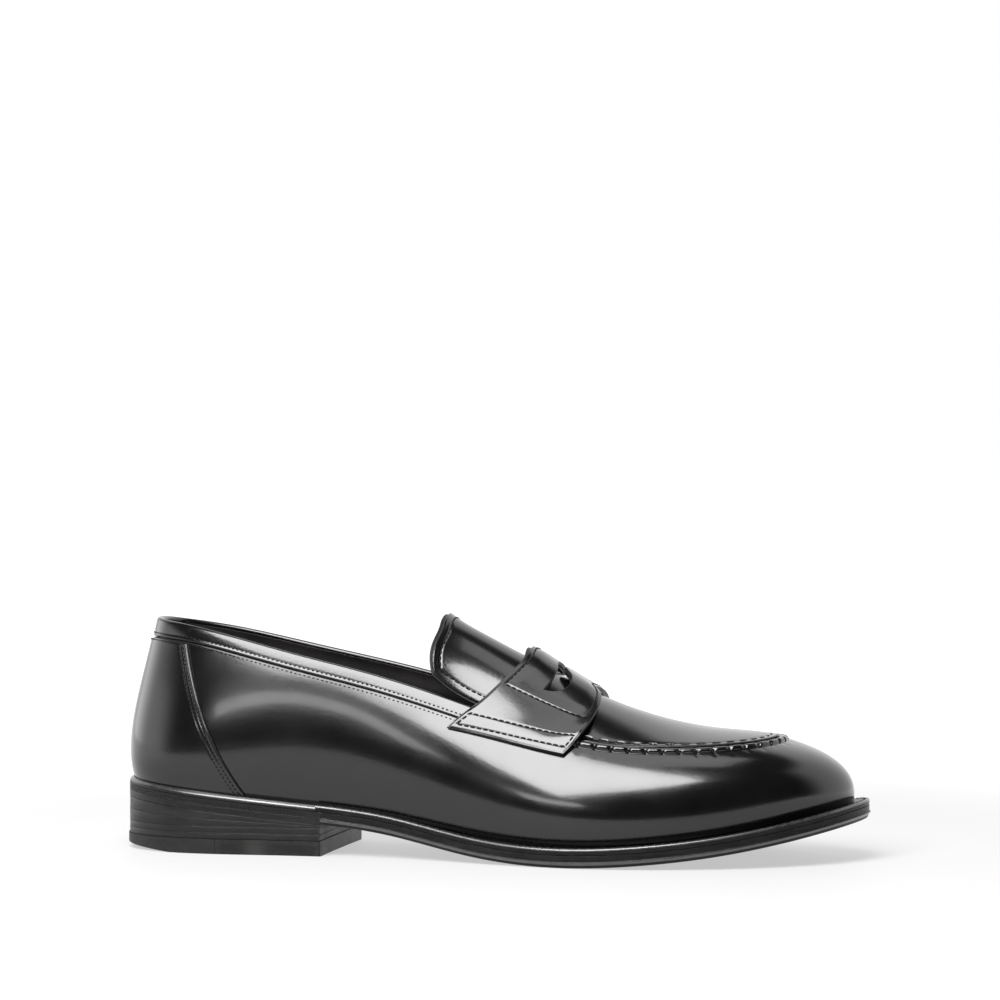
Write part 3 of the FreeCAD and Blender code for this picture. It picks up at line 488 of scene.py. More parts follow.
def cap(verts, rim, place, columns, closed):
    """Fills a ring of vertices with rows across the shoe. Returns the new points and faces (facing up)."""
    m = len(rim)
    pairs = [(rim[k], rim[m - k]) for k in range(1, m // 2)] if closed else \
        [(rim[k], rim[m - 1 - k]) for k in range(m // 2)]
    share = 0.5 - 0.5 * np.cos(np.pi * np.linspace(0, 1, columns + 2)[1:-1])
    extra, rows, count = [], [], len(verts)
    for a, b in pairs:
        extra.append(place(verts[a] + (verts[b] - verts[a]) * share[:, None]))
        rows.append([a] + list(range(count, count + columns)) + [b])
        count += columns
    faces = []
    for r0, r1 in zip(rows, rows[1:]):
        faces += [(r0[c], r1[c], r1[c + 1], r0[c + 1]) for c in range(columns + 1)]
    tip, last = rim[m // 2], rows[-1]
    faces += [(last[c], tip, last[c + 1]) for c in range(columns + 1)]
    if closed:
        faces += [(rim[0], rows[0][c], rows[0][c + 1]) for c in range(columns + 1)]
    return np.concatenate(extra), faces


def loft(name, rings, mats, low_place, high_place, slots=None, columns=14, **kw):
    """Closed solid through rings of points, lowest first, capped at both ends."""
    m = len(rings[0])
    verts = np.concatenate(rings)
    faces, mat = [], []
    for r in range(len(rings) - 1):
        a, b = r * m, (r + 1) * m
        faces += [(a + k, a + (k + 1) % m, b + (k + 1) % m, b + k) for k in range(m)]
        mat += [slots[r] if slots else 0] * m
    for r, place, up in ((0, low_place, False), (len(rings) - 1, high_place, True)):
        extra, more = cap(verts, list(range(r * m, (r + 1) * m)), place, columns, True)
        verts = np.concatenate([verts, extra])
        faces += more if up else [tuple(reversed(f)) for f in more]
        mat += [slots[0 if r == 0 else -1] if slots else 0] * len(more)
    obj = make(name, verts, faces, mats, mat, **kw)
    obj.data.set_sharp_from_angle(angle=math.radians(50))
    return obj


def sweep(name, sections, mats, slots=None, closed=False, **kw):
    """Bar with a closed cross-section: sections[i] are its points at column i."""
    sections = np.asarray(sections)
    na, nb = sections.shape[:2]
    faces, mat = [], []
    for i in range(na if closed else na - 1):
        a, b = i * nb, ((i + 1) % na) * nb
        faces += [(a + k, b + k, b + (k + 1) % nb, a + (k + 1) % nb) for k in range(nb)]
        mat += list(slots) if slots else [0] * nb
    if not closed:
        faces += [tuple(range(nb)), tuple(range((na - 1) * nb + nb - 1, (na - 1) * nb - 1, -1))]
        mat += [0, 0]
    uv = lengths_uv(sections)
    obj = make(name, sections.reshape(-1, 3), faces, mats, mat, uv, **kw)
    obj.data.set_sharp_from_angle(angle=math.radians(60))
    return obj


# ------------------------------------------------------------------ materials
def shader(name, low, high, rough, noise=(35.0, 4.0), bumps=(), spec=0.5, coat=0.0, coat_rough=0.1,
           metal=0.0, sheen=0.0, stretch=(1, 1, 1), rough_noise=60.0, ior=1.5, streaks=None, painted_edge_glint=0.0):
    """Procedural finish: colour and gloss vary over the surface, and layers of fine relief.

    bumps: (kind, scale per metre, depth in millimetres) with kind grain, pores, waves or fibres.
    streaks: (scale, low, high, stretch) of a second colour layer, such as fibre lines.
    """
    mat = bpy.data.materials.new(name)
    mat.use_nodes = True
    tree = mat.node_tree
    tree.nodes.clear()
    add = lambda kind: tree.nodes.new("ShaderNode" + kind)
    link = tree.links.new
    out, bsdf, coord = add("OutputMaterial"), add("BsdfPrincipled"), add("TexCoord")
    link(bsdf.outputs[0], out.inputs[0])
    mapping = add("Mapping")
    mapping.inputs["Scale"].default_value = stretch
    link(coord.outputs["Object"], mapping.inputs["Vector"])

    def noise_at(scale, detail, source=mapping, rough_=0.55):
        node = add("TexNoise")
        node.inputs["Scale"].default_value = scale
        node.inputs["Detail"].default_value = detail
        node.inputs["Roughness"].default_value = rough_
        link(source.outputs[0], node.inputs["Vector"])
        return node

    ramp = add("ValToRGB")
    ramp.color_ramp.elements[0].position, ramp.color_ramp.elements[1].position = 0.32, 0.68
    ramp.color_ramp.elements[0].color, ramp.color_ramp.elements[1].color = (*low, 1), (*high, 1)
    link(noise_at(*noise).outputs["Fac"], ramp.inputs[0])
    colour = ramp.outputs[0]
    if streaks:
        scale, dark, light, by = streaks
        along = add("Mapping")
        along.inputs["Scale"].default_value = by
        link(coord.outputs["Object"], along.inputs["Vector"])
        fibre = noise_at(scale, 3.0, along)
        level = add("MapRange")
        level.inputs["From Min"].default_value, level.inputs["From Max"].default_value = 0.35, 0.7
        level.inputs["To Min"].default_value, level.inputs["To Max"].default_value = dark, light
        link(fibre.outputs["Fac"], level.inputs["Value"])
        times = add("Mix")
        times.data_type, times.blend_type = "RGBA", "MULTIPLY"
        times.inputs["Factor"].default_value = 1.0
        link(colour, times.inputs["A"])
        link(level.outputs["Result"], times.inputs["B"])
        colour = times.outputs["Result"]
    # Painted highlight: sharp convex edges, found by pointiness, are lightened towards grey to stand in for the
    # glints along the edges' corners.
    if painted_edge_glint:
        geo = add("NewGeometry")
        edge_glint_mask = add("MapRange")
        edge_glint_mask.inputs["From Min"].default_value, edge_glint_mask.inputs["From Max"].default_value = 0.52, 0.62
        edge_glint_mask.inputs["To Max"].default_value = painted_edge_glint
        link(geo.outputs["Pointiness"], edge_glint_mask.inputs["Value"])
        lift = add("Mix")
        lift.data_type = "RGBA"
        link(edge_glint_mask.outputs["Result"], lift.inputs["Factor"])
        link(colour, lift.inputs["A"])
        lift.inputs["B"].default_value = (0.16, 0.15, 0.145, 1)
        colour = lift.outputs["Result"]
    link(colour, bsdf.inputs["Base Color"])
    gloss = add("MapRange")
    gloss.inputs["From Min"].default_value, gloss.inputs["From Max"].default_value = 0.3, 0.7
    gloss.inputs["To Min"].default_value, gloss.inputs["To Max"].default_value = rough
    link(noise_at(rough_noise, 3.0).outputs["Fac"], gloss.inputs["Value"])
    link(gloss.outputs["Result"], bsdf.inputs["Roughness"])
    bsdf.inputs["IOR"].default_value = ior
    bsdf.inputs["Specular IOR Level"].default_value = spec
    bsdf.inputs["Metallic"].default_value = metal
    bsdf.inputs["Coat Weight"].default_value = coat
    bsdf.inputs["Coat Roughness"].default_value = coat_rough
    bsdf.inputs["Sheen Weight"].default_value = sheen
    last = None
    for kind, scale, depth in bumps:
        if kind == "pores":
            node = add("TexVoronoi")
            node.feature = "F1"
            node.inputs["Scale"].default_value = scale
            link(mapping.outputs[0], node.inputs["Vector"])
            height = node.outputs["Distance"]
        elif kind == "waves":
            node = add("TexWave")
            node.bands_direction = "Z"
            node.inputs["Scale"].default_value = scale
            node.inputs["Distortion"].default_value = 1.2
            node.inputs["Detail Scale"].default_value = 2.0
            link(mapping.outputs[0], node.inputs["Vector"])
            height = node.outputs["Fac"]
        elif kind == "fibres":
            along = add("Mapping")
            along.inputs["Scale"].default_value = (0.12, 0.12, 1.0)
            link(coord.outputs["Object"], along.inputs["Vector"])
            height = noise_at(scale, 4.0, along).outputs["Fac"]
        else:
            height = noise_at(scale, 3.0 if kind == "grain" else 1.0).outputs["Fac"]
        bump = add("Bump")
        bump.inputs["Strength"].default_value = 1.0
        bump.inputs["Distance"].default_value = depth / 1000
        link(height, bump.inputs["Height"])
        if last:
            link(last.outputs[0], bump.inputs["Normal"])
        last = bump
    if last:
        link(last.outputs[0], bsdf.inputs["Normal"])
    return mat


CALF = shader("polished_black_calf", (0.0016, 0.0016, 0.0019), (0.0030, 0.0030, 0.0034), (0.17, 0.23),
              noise=(40, 4), bumps=[("soft", 26, 0.5), ("grain", 900, 0.025), ("pores", 1500, 0.008)],
              spec=0.5, coat=0.35, coat_rough=0.09)
EDGE_INK = shader("edge_ink", (0.006, 0.006, 0.006), (0.016, 0.015, 0.015), (0.28, 0.42),
                  noise=(300, 4), bumps=[("grain", 1200, 0.06), ("fibres", 2600, 0.05)], spec=0.45)
FLESH_SIDE = shader("flesh_side", (0.012, 0.011, 0.011), (0.03, 0.028, 0.027), (0.7, 0.85),
                    noise=(500, 5), bumps=[("grain", 1500, 0.15)], spec=0.3, sheen=0.2)
LINING_MAT = shader("lining_calf", (0.006, 0.0055, 0.0055), (0.014, 0.012, 0.012), (0.42, 0.55),
                    noise=(60, 5), bumps=[("grain", 700, 0.08), ("pores", 1300, 0.04)], spec=0.4)
SOCK_MAT = shader("sock_leather", (0.010, 0.009, 0.009), (0.02, 0.018, 0.018), (0.45, 0.6),
                  noise=(50, 5), bumps=[("grain", 650, 0.1), ("pores", 1200, 0.05)], spec=0.4)
THREAD = shader("waxed_thread", (0.003, 0.003, 0.003), (0.008, 0.008, 0.008), (0.5, 0.65),
                noise=(900, 2), bumps=[("grain", 3500, 0.06)], spec=0.22)
# The three edge materials below are lightened on their convex edges: a painted highlight for the edge glints.
WELT_MAT = shader("dressed_welt", (0.004, 0.004, 0.004), (0.008, 0.0078, 0.0078), (0.28, 0.42),
                  noise=(160, 5), bumps=[("grain", 700, 0.07), ("fibres", 1800, 0.08)], spec=0.22,
                  streaks=(700, 0.6, 1.5, (0.15, 0.15, 1.0)), painted_edge_glint=0.12)
SOLE_MAT = shader("dressed_sole_edge", (0.004, 0.004, 0.004), (0.008, 0.0078, 0.0076), (0.32, 0.46),
                  noise=(200, 5), bumps=[("grain", 500, 0.08), ("fibres", 1500, 0.12)], spec=0.22,
                  streaks=(600, 0.55, 1.7, (0.10, 0.10, 1.0)), painted_edge_glint=0.12)
SOLE_UNDER = shader("sole_leather_bottom", (0.010, 0.0095, 0.009), (0.026, 0.024, 0.023), (0.36, 0.5),
                    noise=(24, 6), bumps=[("grain", 420, 0.1), ("pores", 1000, 0.05)], spec=0.45)
STACK_MAT = shader("stacked_heel", (0.004, 0.004, 0.004), (0.0085, 0.0082, 0.0080), (0.34, 0.48),
                   noise=(180, 5), bumps=[("grain", 600, 0.06), ("fibres", 1300, 0.12)], spec=0.32,
                   streaks=(420, 0.6, 1.5, (0.06, 0.06, 1.0)), painted_edge_glint=0.12)
RUBBER_MAT = shader("heel_rubber", (0.006, 0.006, 0.006), (0.011, 0.011, 0.011), (0.5, 0.65),
                    noise=(300, 3), bumps=[("grain", 1400, 0.09)], spec=0.35)
INSOLE_MAT = shader("insole_leather", (0.30, 0.17, 0.09), (0.42, 0.26, 0.15), (0.6, 0.75),
                    noise=(90, 5), bumps=[("grain", 700, 0.15)], spec=0.3)
STIFF_MAT = shader("stiffener_leather", (0.34, 0.25, 0.17), (0.45, 0.35, 0.25), (0.7, 0.85),
                   noise=(120, 5), bumps=[("grain", 900, 0.15)], spec=0.25)
CANVAS_MAT = shader("canvas_rib", (0.55, 0.5, 0.4), (0.7, 0.65, 0.55), (0.8, 0.9),
                    noise=(900, 2), bumps=[("waves", 300, 0.2)], spec=0.2)
CORK_MAT = shader("cork", (0.23, 0.12, 0.06), (0.5, 0.32, 0.18), (0.75, 0.9),
                  noise=(380, 6), bumps=[("pores", 420, 0.5)], spec=0.2)
FOAM_MAT = shader("heel_foam", (0.5, 0.46, 0.4), (0.62, 0.58, 0.5), (0.8, 0.9),
                  noise=(500, 3), bumps=[("pores", 900, 0.4)], spec=0.2)
STEEL_MAT = shader("spring_steel", (0.45, 0.45, 0.46), (0.6, 0.6, 0.61), (0.25, 0.4),
                   noise=(200, 4), bumps=[("fibres", 900, 0.02)], metal=1.0)
BRASS_MAT = shader("brass_pin", (0.55, 0.36, 0.12), (0.75, 0.52, 0.2), (0.25, 0.45),
                   noise=(400, 4), bumps=[("grain", 900, 0.03)], metal=1.0)
# Lip finish: glossier than the edge (a real burnish), and a lighter colour that is a painted highlight for the
# bright lines along the welt's top corner, the rand's shoulder and the sole's lip.
LIP_GLINT_MAT = shader("burnished_lip_with_painted_highlight", (0.012, 0.012, 0.012), (0.040, 0.040, 0.040), (0.20, 0.36),
                 noise=(260, 4), bumps=[("grain", 900, 0.04)], spec=1.0, coat=0.3, coat_rough=0.25)
SKIN = [CALF, EDGE_INK, FLESH_SIDE]
LINED = [LINING_MAT, LINING_MAT, FLESH_SIDE]


def dress(name, mat):
    obj = bpy.data.objects[name]
    obj.data.materials.clear()
    obj.data.materials.append(mat)


# ------------------------------------------------------------------ sole
def spaced(curve, start, end, step):
    """Stations from start to end, spaced evenly along a curve given by control points."""
    t = np.linspace(start, end, 4001)
    gone = np.concatenate([[0], np.cumsum(np.linalg.norm(np.diff(ring(curve, t), axis=0), axis=1))])
    count = int(gone[-1] / step) + 1
    count += count % 2
    return np.interp(np.linspace(0, gone[-1], count + 1), gone, t), gone[-1]


def at_x(points, x, low, high):
    t = np.linspace(low, high, 4001)
    return float(t[np.argmin(abs(ring(points, t)[:, 0] - x))])


HEEL_LENGTH, BREAST_HOLLOW, BREAST_WIDE = 91.6, 4.0, 107.0
WELT_SPLIT = HEEL_LENGTH - 6


def edge_point(t, d, z):
    """Point by the sole's edge: d outside (+) or inside (-) the outline, z below the welt's top."""
    p = ring(OUTLINE, t) + outward(OUTLINE, t) * np.asarray(d)[..., None]
    p[..., 2] = welt_top(p[..., 0]) + z
    return p


def edge_sections(t, profile):
    """Cross-sections round the sole from (d, z) pairs; d below -100 means under the upper."""
    reach = np.interp(np.mod(t, N), range(N + 1), WELT_REACH + WELT_REACH[:1])
    return np.stack([edge_point(t, np.where(np.full(len(t), d) < -100, -reach - 4, d), np.full(len(t), z))
                     for d, z in profile], 1)


WELT_PROFILE = [
    (-200, -2.6), (-200, 0.0), (-3.2, 0.0), (-2.75, -0.04), (-2.5, -0.26), (-2.2, -0.38), (-1.9, -0.26),
    (-1.65, -0.05), (-1.35, -0.02), (-0.95, -0.08), (-0.62, -0.28), (-0.42, -0.62), (-0.38, -1.0),
    (-0.42, -1.7), (-0.44, -2.2), (-0.48, -2.45), (-0.62, -2.6),
]
RAND_PROFILE = [
    (-200, -2.6), (-200, 0.0), (-3.4, 0.0), (-2.6, -0.04), (-1.9, -0.18), (-1.3, -0.46), (-0.82, -0.88),
    (-0.5, -1.38), (-0.34, -1.9), (-0.3, -2.4), (-0.5, -2.6),
]


def build_welt():
    side = at_x(OUTLINE, WELT_SPLIT, 2.5, 4.5), at_x(OUTLINE, WELT_SPLIT, 15.5, 17.5)
    t, _ = spaced(OUTLINE, side[0] + 0.002, side[1] - 0.002, 0.9)
    # Slot 1, the welt's top corner, takes the lip finish with its painted highlight.
    slots = [int(-1.4 < d < -0.35 and z > -0.7) for d, z in WELT_PROFILE]
    sweep("Welt", edge_sections(t, WELT_PROFILE), [WELT_MAT, LIP_GLINT_MAT], slots=slots, slot="sole_leather",
          replaces=("welt",))
    t, _ = spaced(OUTLINE, side[1] - N, side[0], 1.0)
    # Slot 1, the rand's shoulder, takes the lip finish with its painted highlight.
    slots = [int(-1.95 < d < -0.6 and z > -1.2) for d, z in RAND_PROFILE]
    sweep("HeelRand", edge_sections(t, RAND_PROFILE), [STACK_MAT, LIP_GLINT_MAT], slots=slots, slot="sole_leather",
          replaces=("heel_rand",))
    t, _ = spaced(OUTLINE, side[0] + 0.12, side[1] - 0.12, 0.6)
    path = edge_point(t, np.full(len(t), -2.2), np.full(len(t), -0.30))
    stitches("WeltStitching", [(path, path * 0 + UP, False)], THREAD, pitch=3.3, fill=0.86, radius=0.42,
             proud=0.14, slot="waxed_thread", replaces=("welt_thread",), arch=0.34)


def build_outsole():
    t, length = spaced(OUTLINE, 0, N, 0.34)
    t = t[:-1]
    gone = np.arange(len(t)) * length / len(t)
    ticks = (0.5 + 0.5 * np.cos(2 * np.pi * gone / 1.02)) ** 2 * (ring(OUTLINE, t)[:, 0] < 82)
    profile = [(-2.9, -7.66), (-1.6, -7.68), (-1.2, -7.56), (-0.92, -7.1), (-0.62, -6.5), (-0.30, -6.0),
               (-0.10, -5.85), (0.05, -5.66), (0.05, -5.42), (-0.08, -5.16), (-0.42, -4.96),
               (-0.42, -4.6), (-0.42, -3.9), (-0.42, -3.3), (-0.40, -3.0), (-0.44, -2.78), (-0.7, -2.7)]
    heel = 1 - smooth(ring(OUTLINE, t)[:, 0], 85.5, 93)
    rings = []
    for d, z in profile:
        cut = 0.26 * ticks if -5.3 < z < -3.2 else 0 * ticks
        flush = np.where(z > -7.6, -0.30, d)      # over the heel the edge is square
        rings.append(edge_point(t, mix(d, flush, heel) - cut, np.full(len(t), z)))
    under = lambda p: np.stack([p[:, 0], p[:, 1], welt_top(p[:, 0]) - 7.7], -1)
    above = lambda p: np.stack([p[:, 0], p[:, 1], welt_top(p[:, 0]) - 2.7], -1)
    groove = []
    for d, z in ((-9.0, -7.7), (-6.3, -7.7), (-5.9, -7.62), (-5.6, -7.50), (-5.3, -7.62), (-4.9, -7.7)):
        groove.append(edge_point(t, np.full(len(t), d), np.full(len(t), z)))
    rings = groove + rings
    # Slot 3, the sole's lip, takes the lip finish with its painted highlight.
    slots = [1] * 8 + [0] * 2 + [3] * 4 + [0] * 9
    obj = loft("Outsole", rings, [SOLE_MAT, SOLE_UNDER, STACK_MAT, LIP_GLINT_MAT], under, above, slots=slots,
               slot="sole_leather", replaces=("outsole",))
    breast = (HEEL_LENGTH - BREAST_HOLLOW - ORIGIN[0]) / 1000
    for face in obj.data.polygons:
        if face.material_index in (0, 3) and face.center.x < breast:
            face.material_index = 2


def heel_ring(step):
    """Closed plan path of the heel, starting behind: outline, corner, hollow breast, corner, outline."""
    front = HEEL_LENGTH - BREAST_HOLLOW * 0.92
    corner = at_x(OUTLINE, front, 2.5, 4.5), at_x(OUTLINE, front, 15.5, 17.5)
    outer, _ = spaced(OUTLINE, 0, corner[0], step)
    inner, _ = spaced(OUTLINE, corner[1], N, step)
    a, b = ring(OUTLINE, outer), ring(OUTLINE, inner)
    y = np.linspace(a[-1, 1], b[0, 1], 82)[1:-1]
    breast = np.stack([HEEL_LENGTH - BREAST_HOLLOW * (1 - (y / BREAST_WIDE) ** 2), y, 0 * y], -1)
    path = np.concatenate([a, breast, b[:-1]])
    normal_a, normal_b = outward(OUTLINE, outer), outward(OUTLINE, inner)
    forward = np.tile([1.0, 0, 0], (len(breast), 1))
    n = np.concatenate([normal_a, forward, normal_b[:-1]])
    for k, side in ((len(a) - 1, normal_a[-1]), (len(a) + len(breast), normal_b[0])):
        n[k] = side + np.array([1.0, 0, 0])
    return path, n


def heel_slab(name, low, high, inset, mats, top_round=0.07, **kw):
    path, n = heel_ring(0.8)
    if len(path) % 2:
        path, n = path[:-1], n[:-1]
    r = top_round
    rings = []
    for d, side, dz in ((-1.2, 0, 0.0), (-r, 0, 0.0), (-r * 0.3, 0, r * 0.3), (0, 0, r),
                        (0, 1, -r), (-r * 0.3, 1, -r * 0.3), (-r, 1, 0.0), (-1.2, 1, 0.0)):
        p = path + n * (d - inset)
        p[:, 2] = (high if side else low)(p[:, 0]) + dz
        rings.append(p)
    place = [lambda p, f=f: np.stack([p[:, 0], p[:, 1], f(p[:, 0])], -1) for f in (low, high)]
    loft(name, rings, mats, place[0], place[1], **kw)


def build_heel():
    sole = lambda x: welt_top(x) - WELT_THICK - SOLE_THICK - 0.02
    flat = [6.08, 8.66, 11.24]
    levels = [lambda x, z=z: 0 * x + z for z in flat] + [lambda x: (flat[2] + sole(x)) / 2, sole]
    for k in range(4):
        gap = 0.05
        heel_slab("HeelLift_%d" % (k + 1), levels[k], lambda x, k=k: levels[k + 1](x) - gap,
                  0.30 + 0.05 * (k % 2), [STACK_MAT], slot="sole_leather",
                  replaces=("heel_lift_%d" % (k + 1),))


# ------------------------------------------------------------------ upper
def ridge_table():
    """Arc length along the apron seam, counted from the outer side, for stations 5 to N - 5."""
    t = np.linspace(5.0, N - 5.0, 6001)
    p = wall(t, np.full(len(t), RIDGE_LEVEL))
    return t, np.concatenate([[0], np.cumsum(np.linalg.norm(np.diff(p, axis=0), axis=1))])


RIDGE_T, RIDGE_S = ridge_table()
RIDGE_FROM, RIDGE_TO = 5.72, 5.98      # the rolled edge rises under the strap, between these stations
SEAM_START = float(np.interp(5.95, RIDGE_T, RIDGE_S))
SEAM_END = float(np.interp(N - 5.95, RIDGE_T, RIDGE_S))
SEAM_COUNT = int(round((SEAM_END - SEAM_START) / APRON_PITCH))
SEAM_PITCH = (SEAM_END - SEAM_START) / SEAM_COUNT
ROLL_AT, ROLL_WIDE, ROLL_HIGH = 1.75, 1.45, 1.10    # the rolled edge: millimetres below the top line


def seam_phase(t):
    """Distance along the seam from the nearest stitch, in millimetres."""
    s = np.interp(t, RIDGE_T, RIDGE_S) - SEAM_START
    return s - np.round(s / SEAM_PITCH) * SEAM_PITCH


def rolled_edge(t, u):
    """Height of the vamp's gathered rolled edge; u is the distance below the top line."""
    on = smooth(fold(t), RIDGE_FROM, RIDGE_TO)
    near = seam_phase(t)
    pinch = np.exp(-(near / 0.95) ** 2)
    across = (u - ROLL_AT) / ROLL_WIDE
    tube = np.clip(1 - across ** 2, 0, 1) ** 0.62
    high = ROLL_HIGH * (1 - 0.30 * pinch)
    hole = 0.85 * np.exp(-(near / 0.80) ** 2 - ((u - 2.55) / 0.60) ** 2)
    crease = 0.30 * np.exp(-((u - 3.45) / 0.38) ** 2) * (1 - 0.4 * pinch)
    tuck = 0.10 * pinch * np.exp(-((u - 5.2) / 1.6) ** 2)
    return on * (tube * high - hole - crease - tuck)


def build_vamp():
    rear = np.arange(0, 5.3, 0.045)
    front = np.interp(np.arange(np.interp(5.3, RIDGE_T, RIDGE_S), np.interp(N - 5.3, RIDGE_T, RIDGE_S), 0.40),
                      RIDGE_S, RIDGE_T)
    t = np.concatenate([rear, front, np.arange(N - 5.3, N - 0.02, 0.045)])
    t = t[np.concatenate([[True], np.diff(t) > 0.004])]
    steep = sample_gap(wall, t, np.full(len(t), 0.97), step_b=0.03)
    low = band_level(t) - 0.012
    head = mix(low, 1.0, smooth(fold(t), 5.25, 5.95))
    fine = np.concatenate([np.linspace(0, 4.6, 26), [5.0, 5.5, 6.1, 6.9, 7.9]])
    coarse = np.linspace(0.002, 1, 44)
    v_fine = head[:, None] - fine[None, ::-1] / steep[:, None]
    v_coarse = 0.003 + (v_fine[:, :1] - 0.003) * coarse[None, :-1]
    v = np.concatenate([v_coarse, v_fine], 1)
    tt = np.broadcast_to(t[:, None], v.shape)
    u = (1 - v) * steep[:, None]
    depth = rolled_edge(tt, u)
    p = wall_out(tt, v, depth)
    n = wall_normal(tt, v)
    sheet_piece("Vamp", p, n, LEATHER, SKIN, closed=True, bulge=0.5, square=0.8,
                slot="upper_leather", replaces=("vamp",))


def build_margin():
    t = np.linspace(0, N, 260, endpoint=False)
    rows = []
    for inset, z in ((0.9, 1.1), (1.6, 1.42), (3.0, 1.45), (5.5, 1.42), (8.4, 1.4), (8.6, 1.2), (8.6, 0.3),
                     (8.4, 0.1), (5.0, 0.08), (1.6, 0.08), (0.9, 0.2)):
        p = ring(FEATHER, t) - outward(FEATHER, t) * inset
        p[:, 2] = welt_top(p[:, 0]) + z
        rows.append(p)
    sweep("VampMargin", np.stack(rows, 1), [FLESH_SIDE], closed=True, slot="upper_leather",
          replaces=("vamp_margin",))


def build_apron_stitching():
    """Thread across the rolled edge at every pucker, and the stitch that shows on the apron's side."""
    bars, slots = [], []
    for k in range(SEAM_COUNT + 1):
        t = float(np.interp(SEAM_START + k * SEAM_PITCH, RIDGE_S, RIDGE_T))
        if fold(t) < 5.9:
            continue
        u = np.linspace(1.95, 3.35, 9)
        tt = np.full(9, t)
        v = wall_down(tt, u)
        arch = 1.0 - ((u - 2.65) / 0.7) ** 2
        path = wall_out(tt, v, rolled_edge(tt, u) + 0.05 + 0.12 * arch)
        bars.append((path, wall_normal(tt, v), False))
    stitches("ApronStitching", bars, THREAD, pitch=1.5, fill=0.98, radius=0.60, proud=-0.05, arch=0.30,
             slot="waxed_thread", replaces=("apron_thread",))
    edge_t = np.interp(np.linspace(SEAM_START, SEAM_END, 1400), RIDGE_S, RIDGE_T)
    p, n = apron_row(edge_t, SLOT_ROW)
    s = np.linspace(SEAM_START, SEAM_END, 1400) - SEAM_START
    for k in range(SEAM_COUNT):
        centre = (k + 0.5) * SEAM_PITCH
        keep = abs(s - centre) < 1.55
        if keep.sum() > 3:
            slots.append((p[keep], n[keep], False))
    stitches("ApronEdgeStitches", slots, THREAD, pitch=3.1, fill=0.98, radius=0.36, proud=-0.30, arch=0.20,
             slot="waxed_thread")


APRON_INSET, SLOT_ROW = 1.5, 2.0


def apron_row(t, inset):
    """Points on the apron a distance inside its edge."""
    p = ring(TOP, t) - outward(TOP, t) * (APRON_INSET + inset)
    return apron_face(p[:, 0], p[:, 1]), apron_normal(p[:, 0], p[:, 1])


def build_apron(name, thick, depth, extra, mats, replaces, dent, rear=169.6):
    """Sheet over the forefoot inside the seam: rings near its edge, rows across inside them."""
    lows = ring(TOP, np.linspace(4.5, 7.5, 3001))[:, 0]
    start = float(np.interp(rear, lows, np.linspace(4.5, 7.5, 3001)))
    lows = ring(TOP, np.linspace(N - 7.5, N - 4.5, 3001))[::-1, 0]
    end = float(np.interp(rear, lows, np.linspace(N - 7.5, N - 4.5, 3001)[::-1]))
    t, length = spaced(TOP, start, end, 0.42)
    inset = np.array([0, 0.25, 0.5, 0.8, 1.1, 1.35, 1.6, 1.8, 2.0, 2.2, 2.4, 2.7, 3.1, 3.7, 4.6]) + extra
    rings = []
    for d in inset:
        p = ring(TOP, t) - outward(TOP, t) * (APRON_INSET + d)
        rings.append(apron_face(np.maximum(p[:, 0], rear), p[:, 1]))
    verts = np.concatenate(rings)
    m = len(t)
    faces = []
    for r in range(len(rings) - 1):
        a, b = r * m, (r + 1) * m
        faces += [(a + k, a + k + 1, b + k + 1, b + k) for k in range(m - 1)]
    place = lambda p: apron_face(p[:, 0], p[:, 1])
    more, inner = cap(verts, list(range((len(rings) - 1) * m, len(rings) * m)), place, 44, False)
    verts, faces = np.concatenate([verts, more]), faces + inner
    n = apron_normal(verts[:, 0], verts[:, 1])
    lift = np.full(len(verts), float(depth))
    if dent:
        s = np.interp(t, RIDGE_T, RIDGE_S) - SEAM_START
        near = s - (np.floor(s / SEAM_PITCH) + 0.5) * SEAM_PITCH
        along = np.clip(1 - (near / 1.9) ** 2, 0, 1) ** 0.5
        for r, d in enumerate(inset):
            slot = 0.50 * along * math.exp(-((d - SLOT_ROW) / 0.42) ** 2)
            roll = 0.16 * math.exp(-((d - 0.45) / 0.50) ** 2)
            lift[r * m:(r + 1) * m] += roll - slot - 0.10 * math.exp(-((d - 2.0) / 0.9) ** 2)
    v, f, s, _ = shell(verts + n * lift[:, None], n, faces, thick, bulge=0.35, square=0.7)
    make(name, v, f, mats, s, slot="upper_leather" if dent else "lining_leather", replaces=replaces)


def build_foxing():
    b = np.linspace(0, 1, 90)
    a = np.linspace(-1, 1, 241)
    edge = mix(FOXING_FOOT, FOXING_HEAD, b)
    warp = np.sign(a) * (1 - (1 - abs(a)) ** 1.35)
    t = warp[:, None] * edge[None, :]
    v = 0.003 + (band_level(t) - 0.022 - 0.003) * b[None, :]
    gap = sample_gap(wall, np.broadcast_to(edge, b.shape), mix(0.0, band_level(edge) - 0.022, b), step_a=0.02)
    inside = (edge[None, :] - abs(t)) * gap[None, :]
    groove = sum(0.10 * np.exp(-((inside - row) / 0.35) ** 2) for row in FOXING_ROWS)
    roll = 0.10 * np.exp(-((inside - 0.5) / 0.4) ** 2)
    p = wall_out(t, v, 0.98 - groove + roll)
    sheet_piece("HeelFoxing", p, wall_normal(t, v), 0.9, SKIN, bulge=0.4, square=0.65,
                slot="upper_leather", replaces=("heel_foxing",))
    runs = []
    f = np.linspace(0.012, 0.985, 200)
    e = mix(FOXING_FOOT, FOXING_HEAD, f)
    vv = 0.003 + (band_level(e) - 0.025) * f
    gap = sample_gap(wall, e, vv, step_a=0.02)
    for sign in (-1, 1):
        for row in FOXING_ROWS:
            t_row = sign * (e - row / gap)
            runs.append((*wall_row(t_row, vv, 0.98 - 0.07), False))
    stitches("FoxingStitching", runs, THREAD, pitch=1.75, fill=0.74, radius=0.27, proud=0.10, slant=0.12,
             slot="waxed_thread")


FOXING_ROWS = (1.7, 3.6)


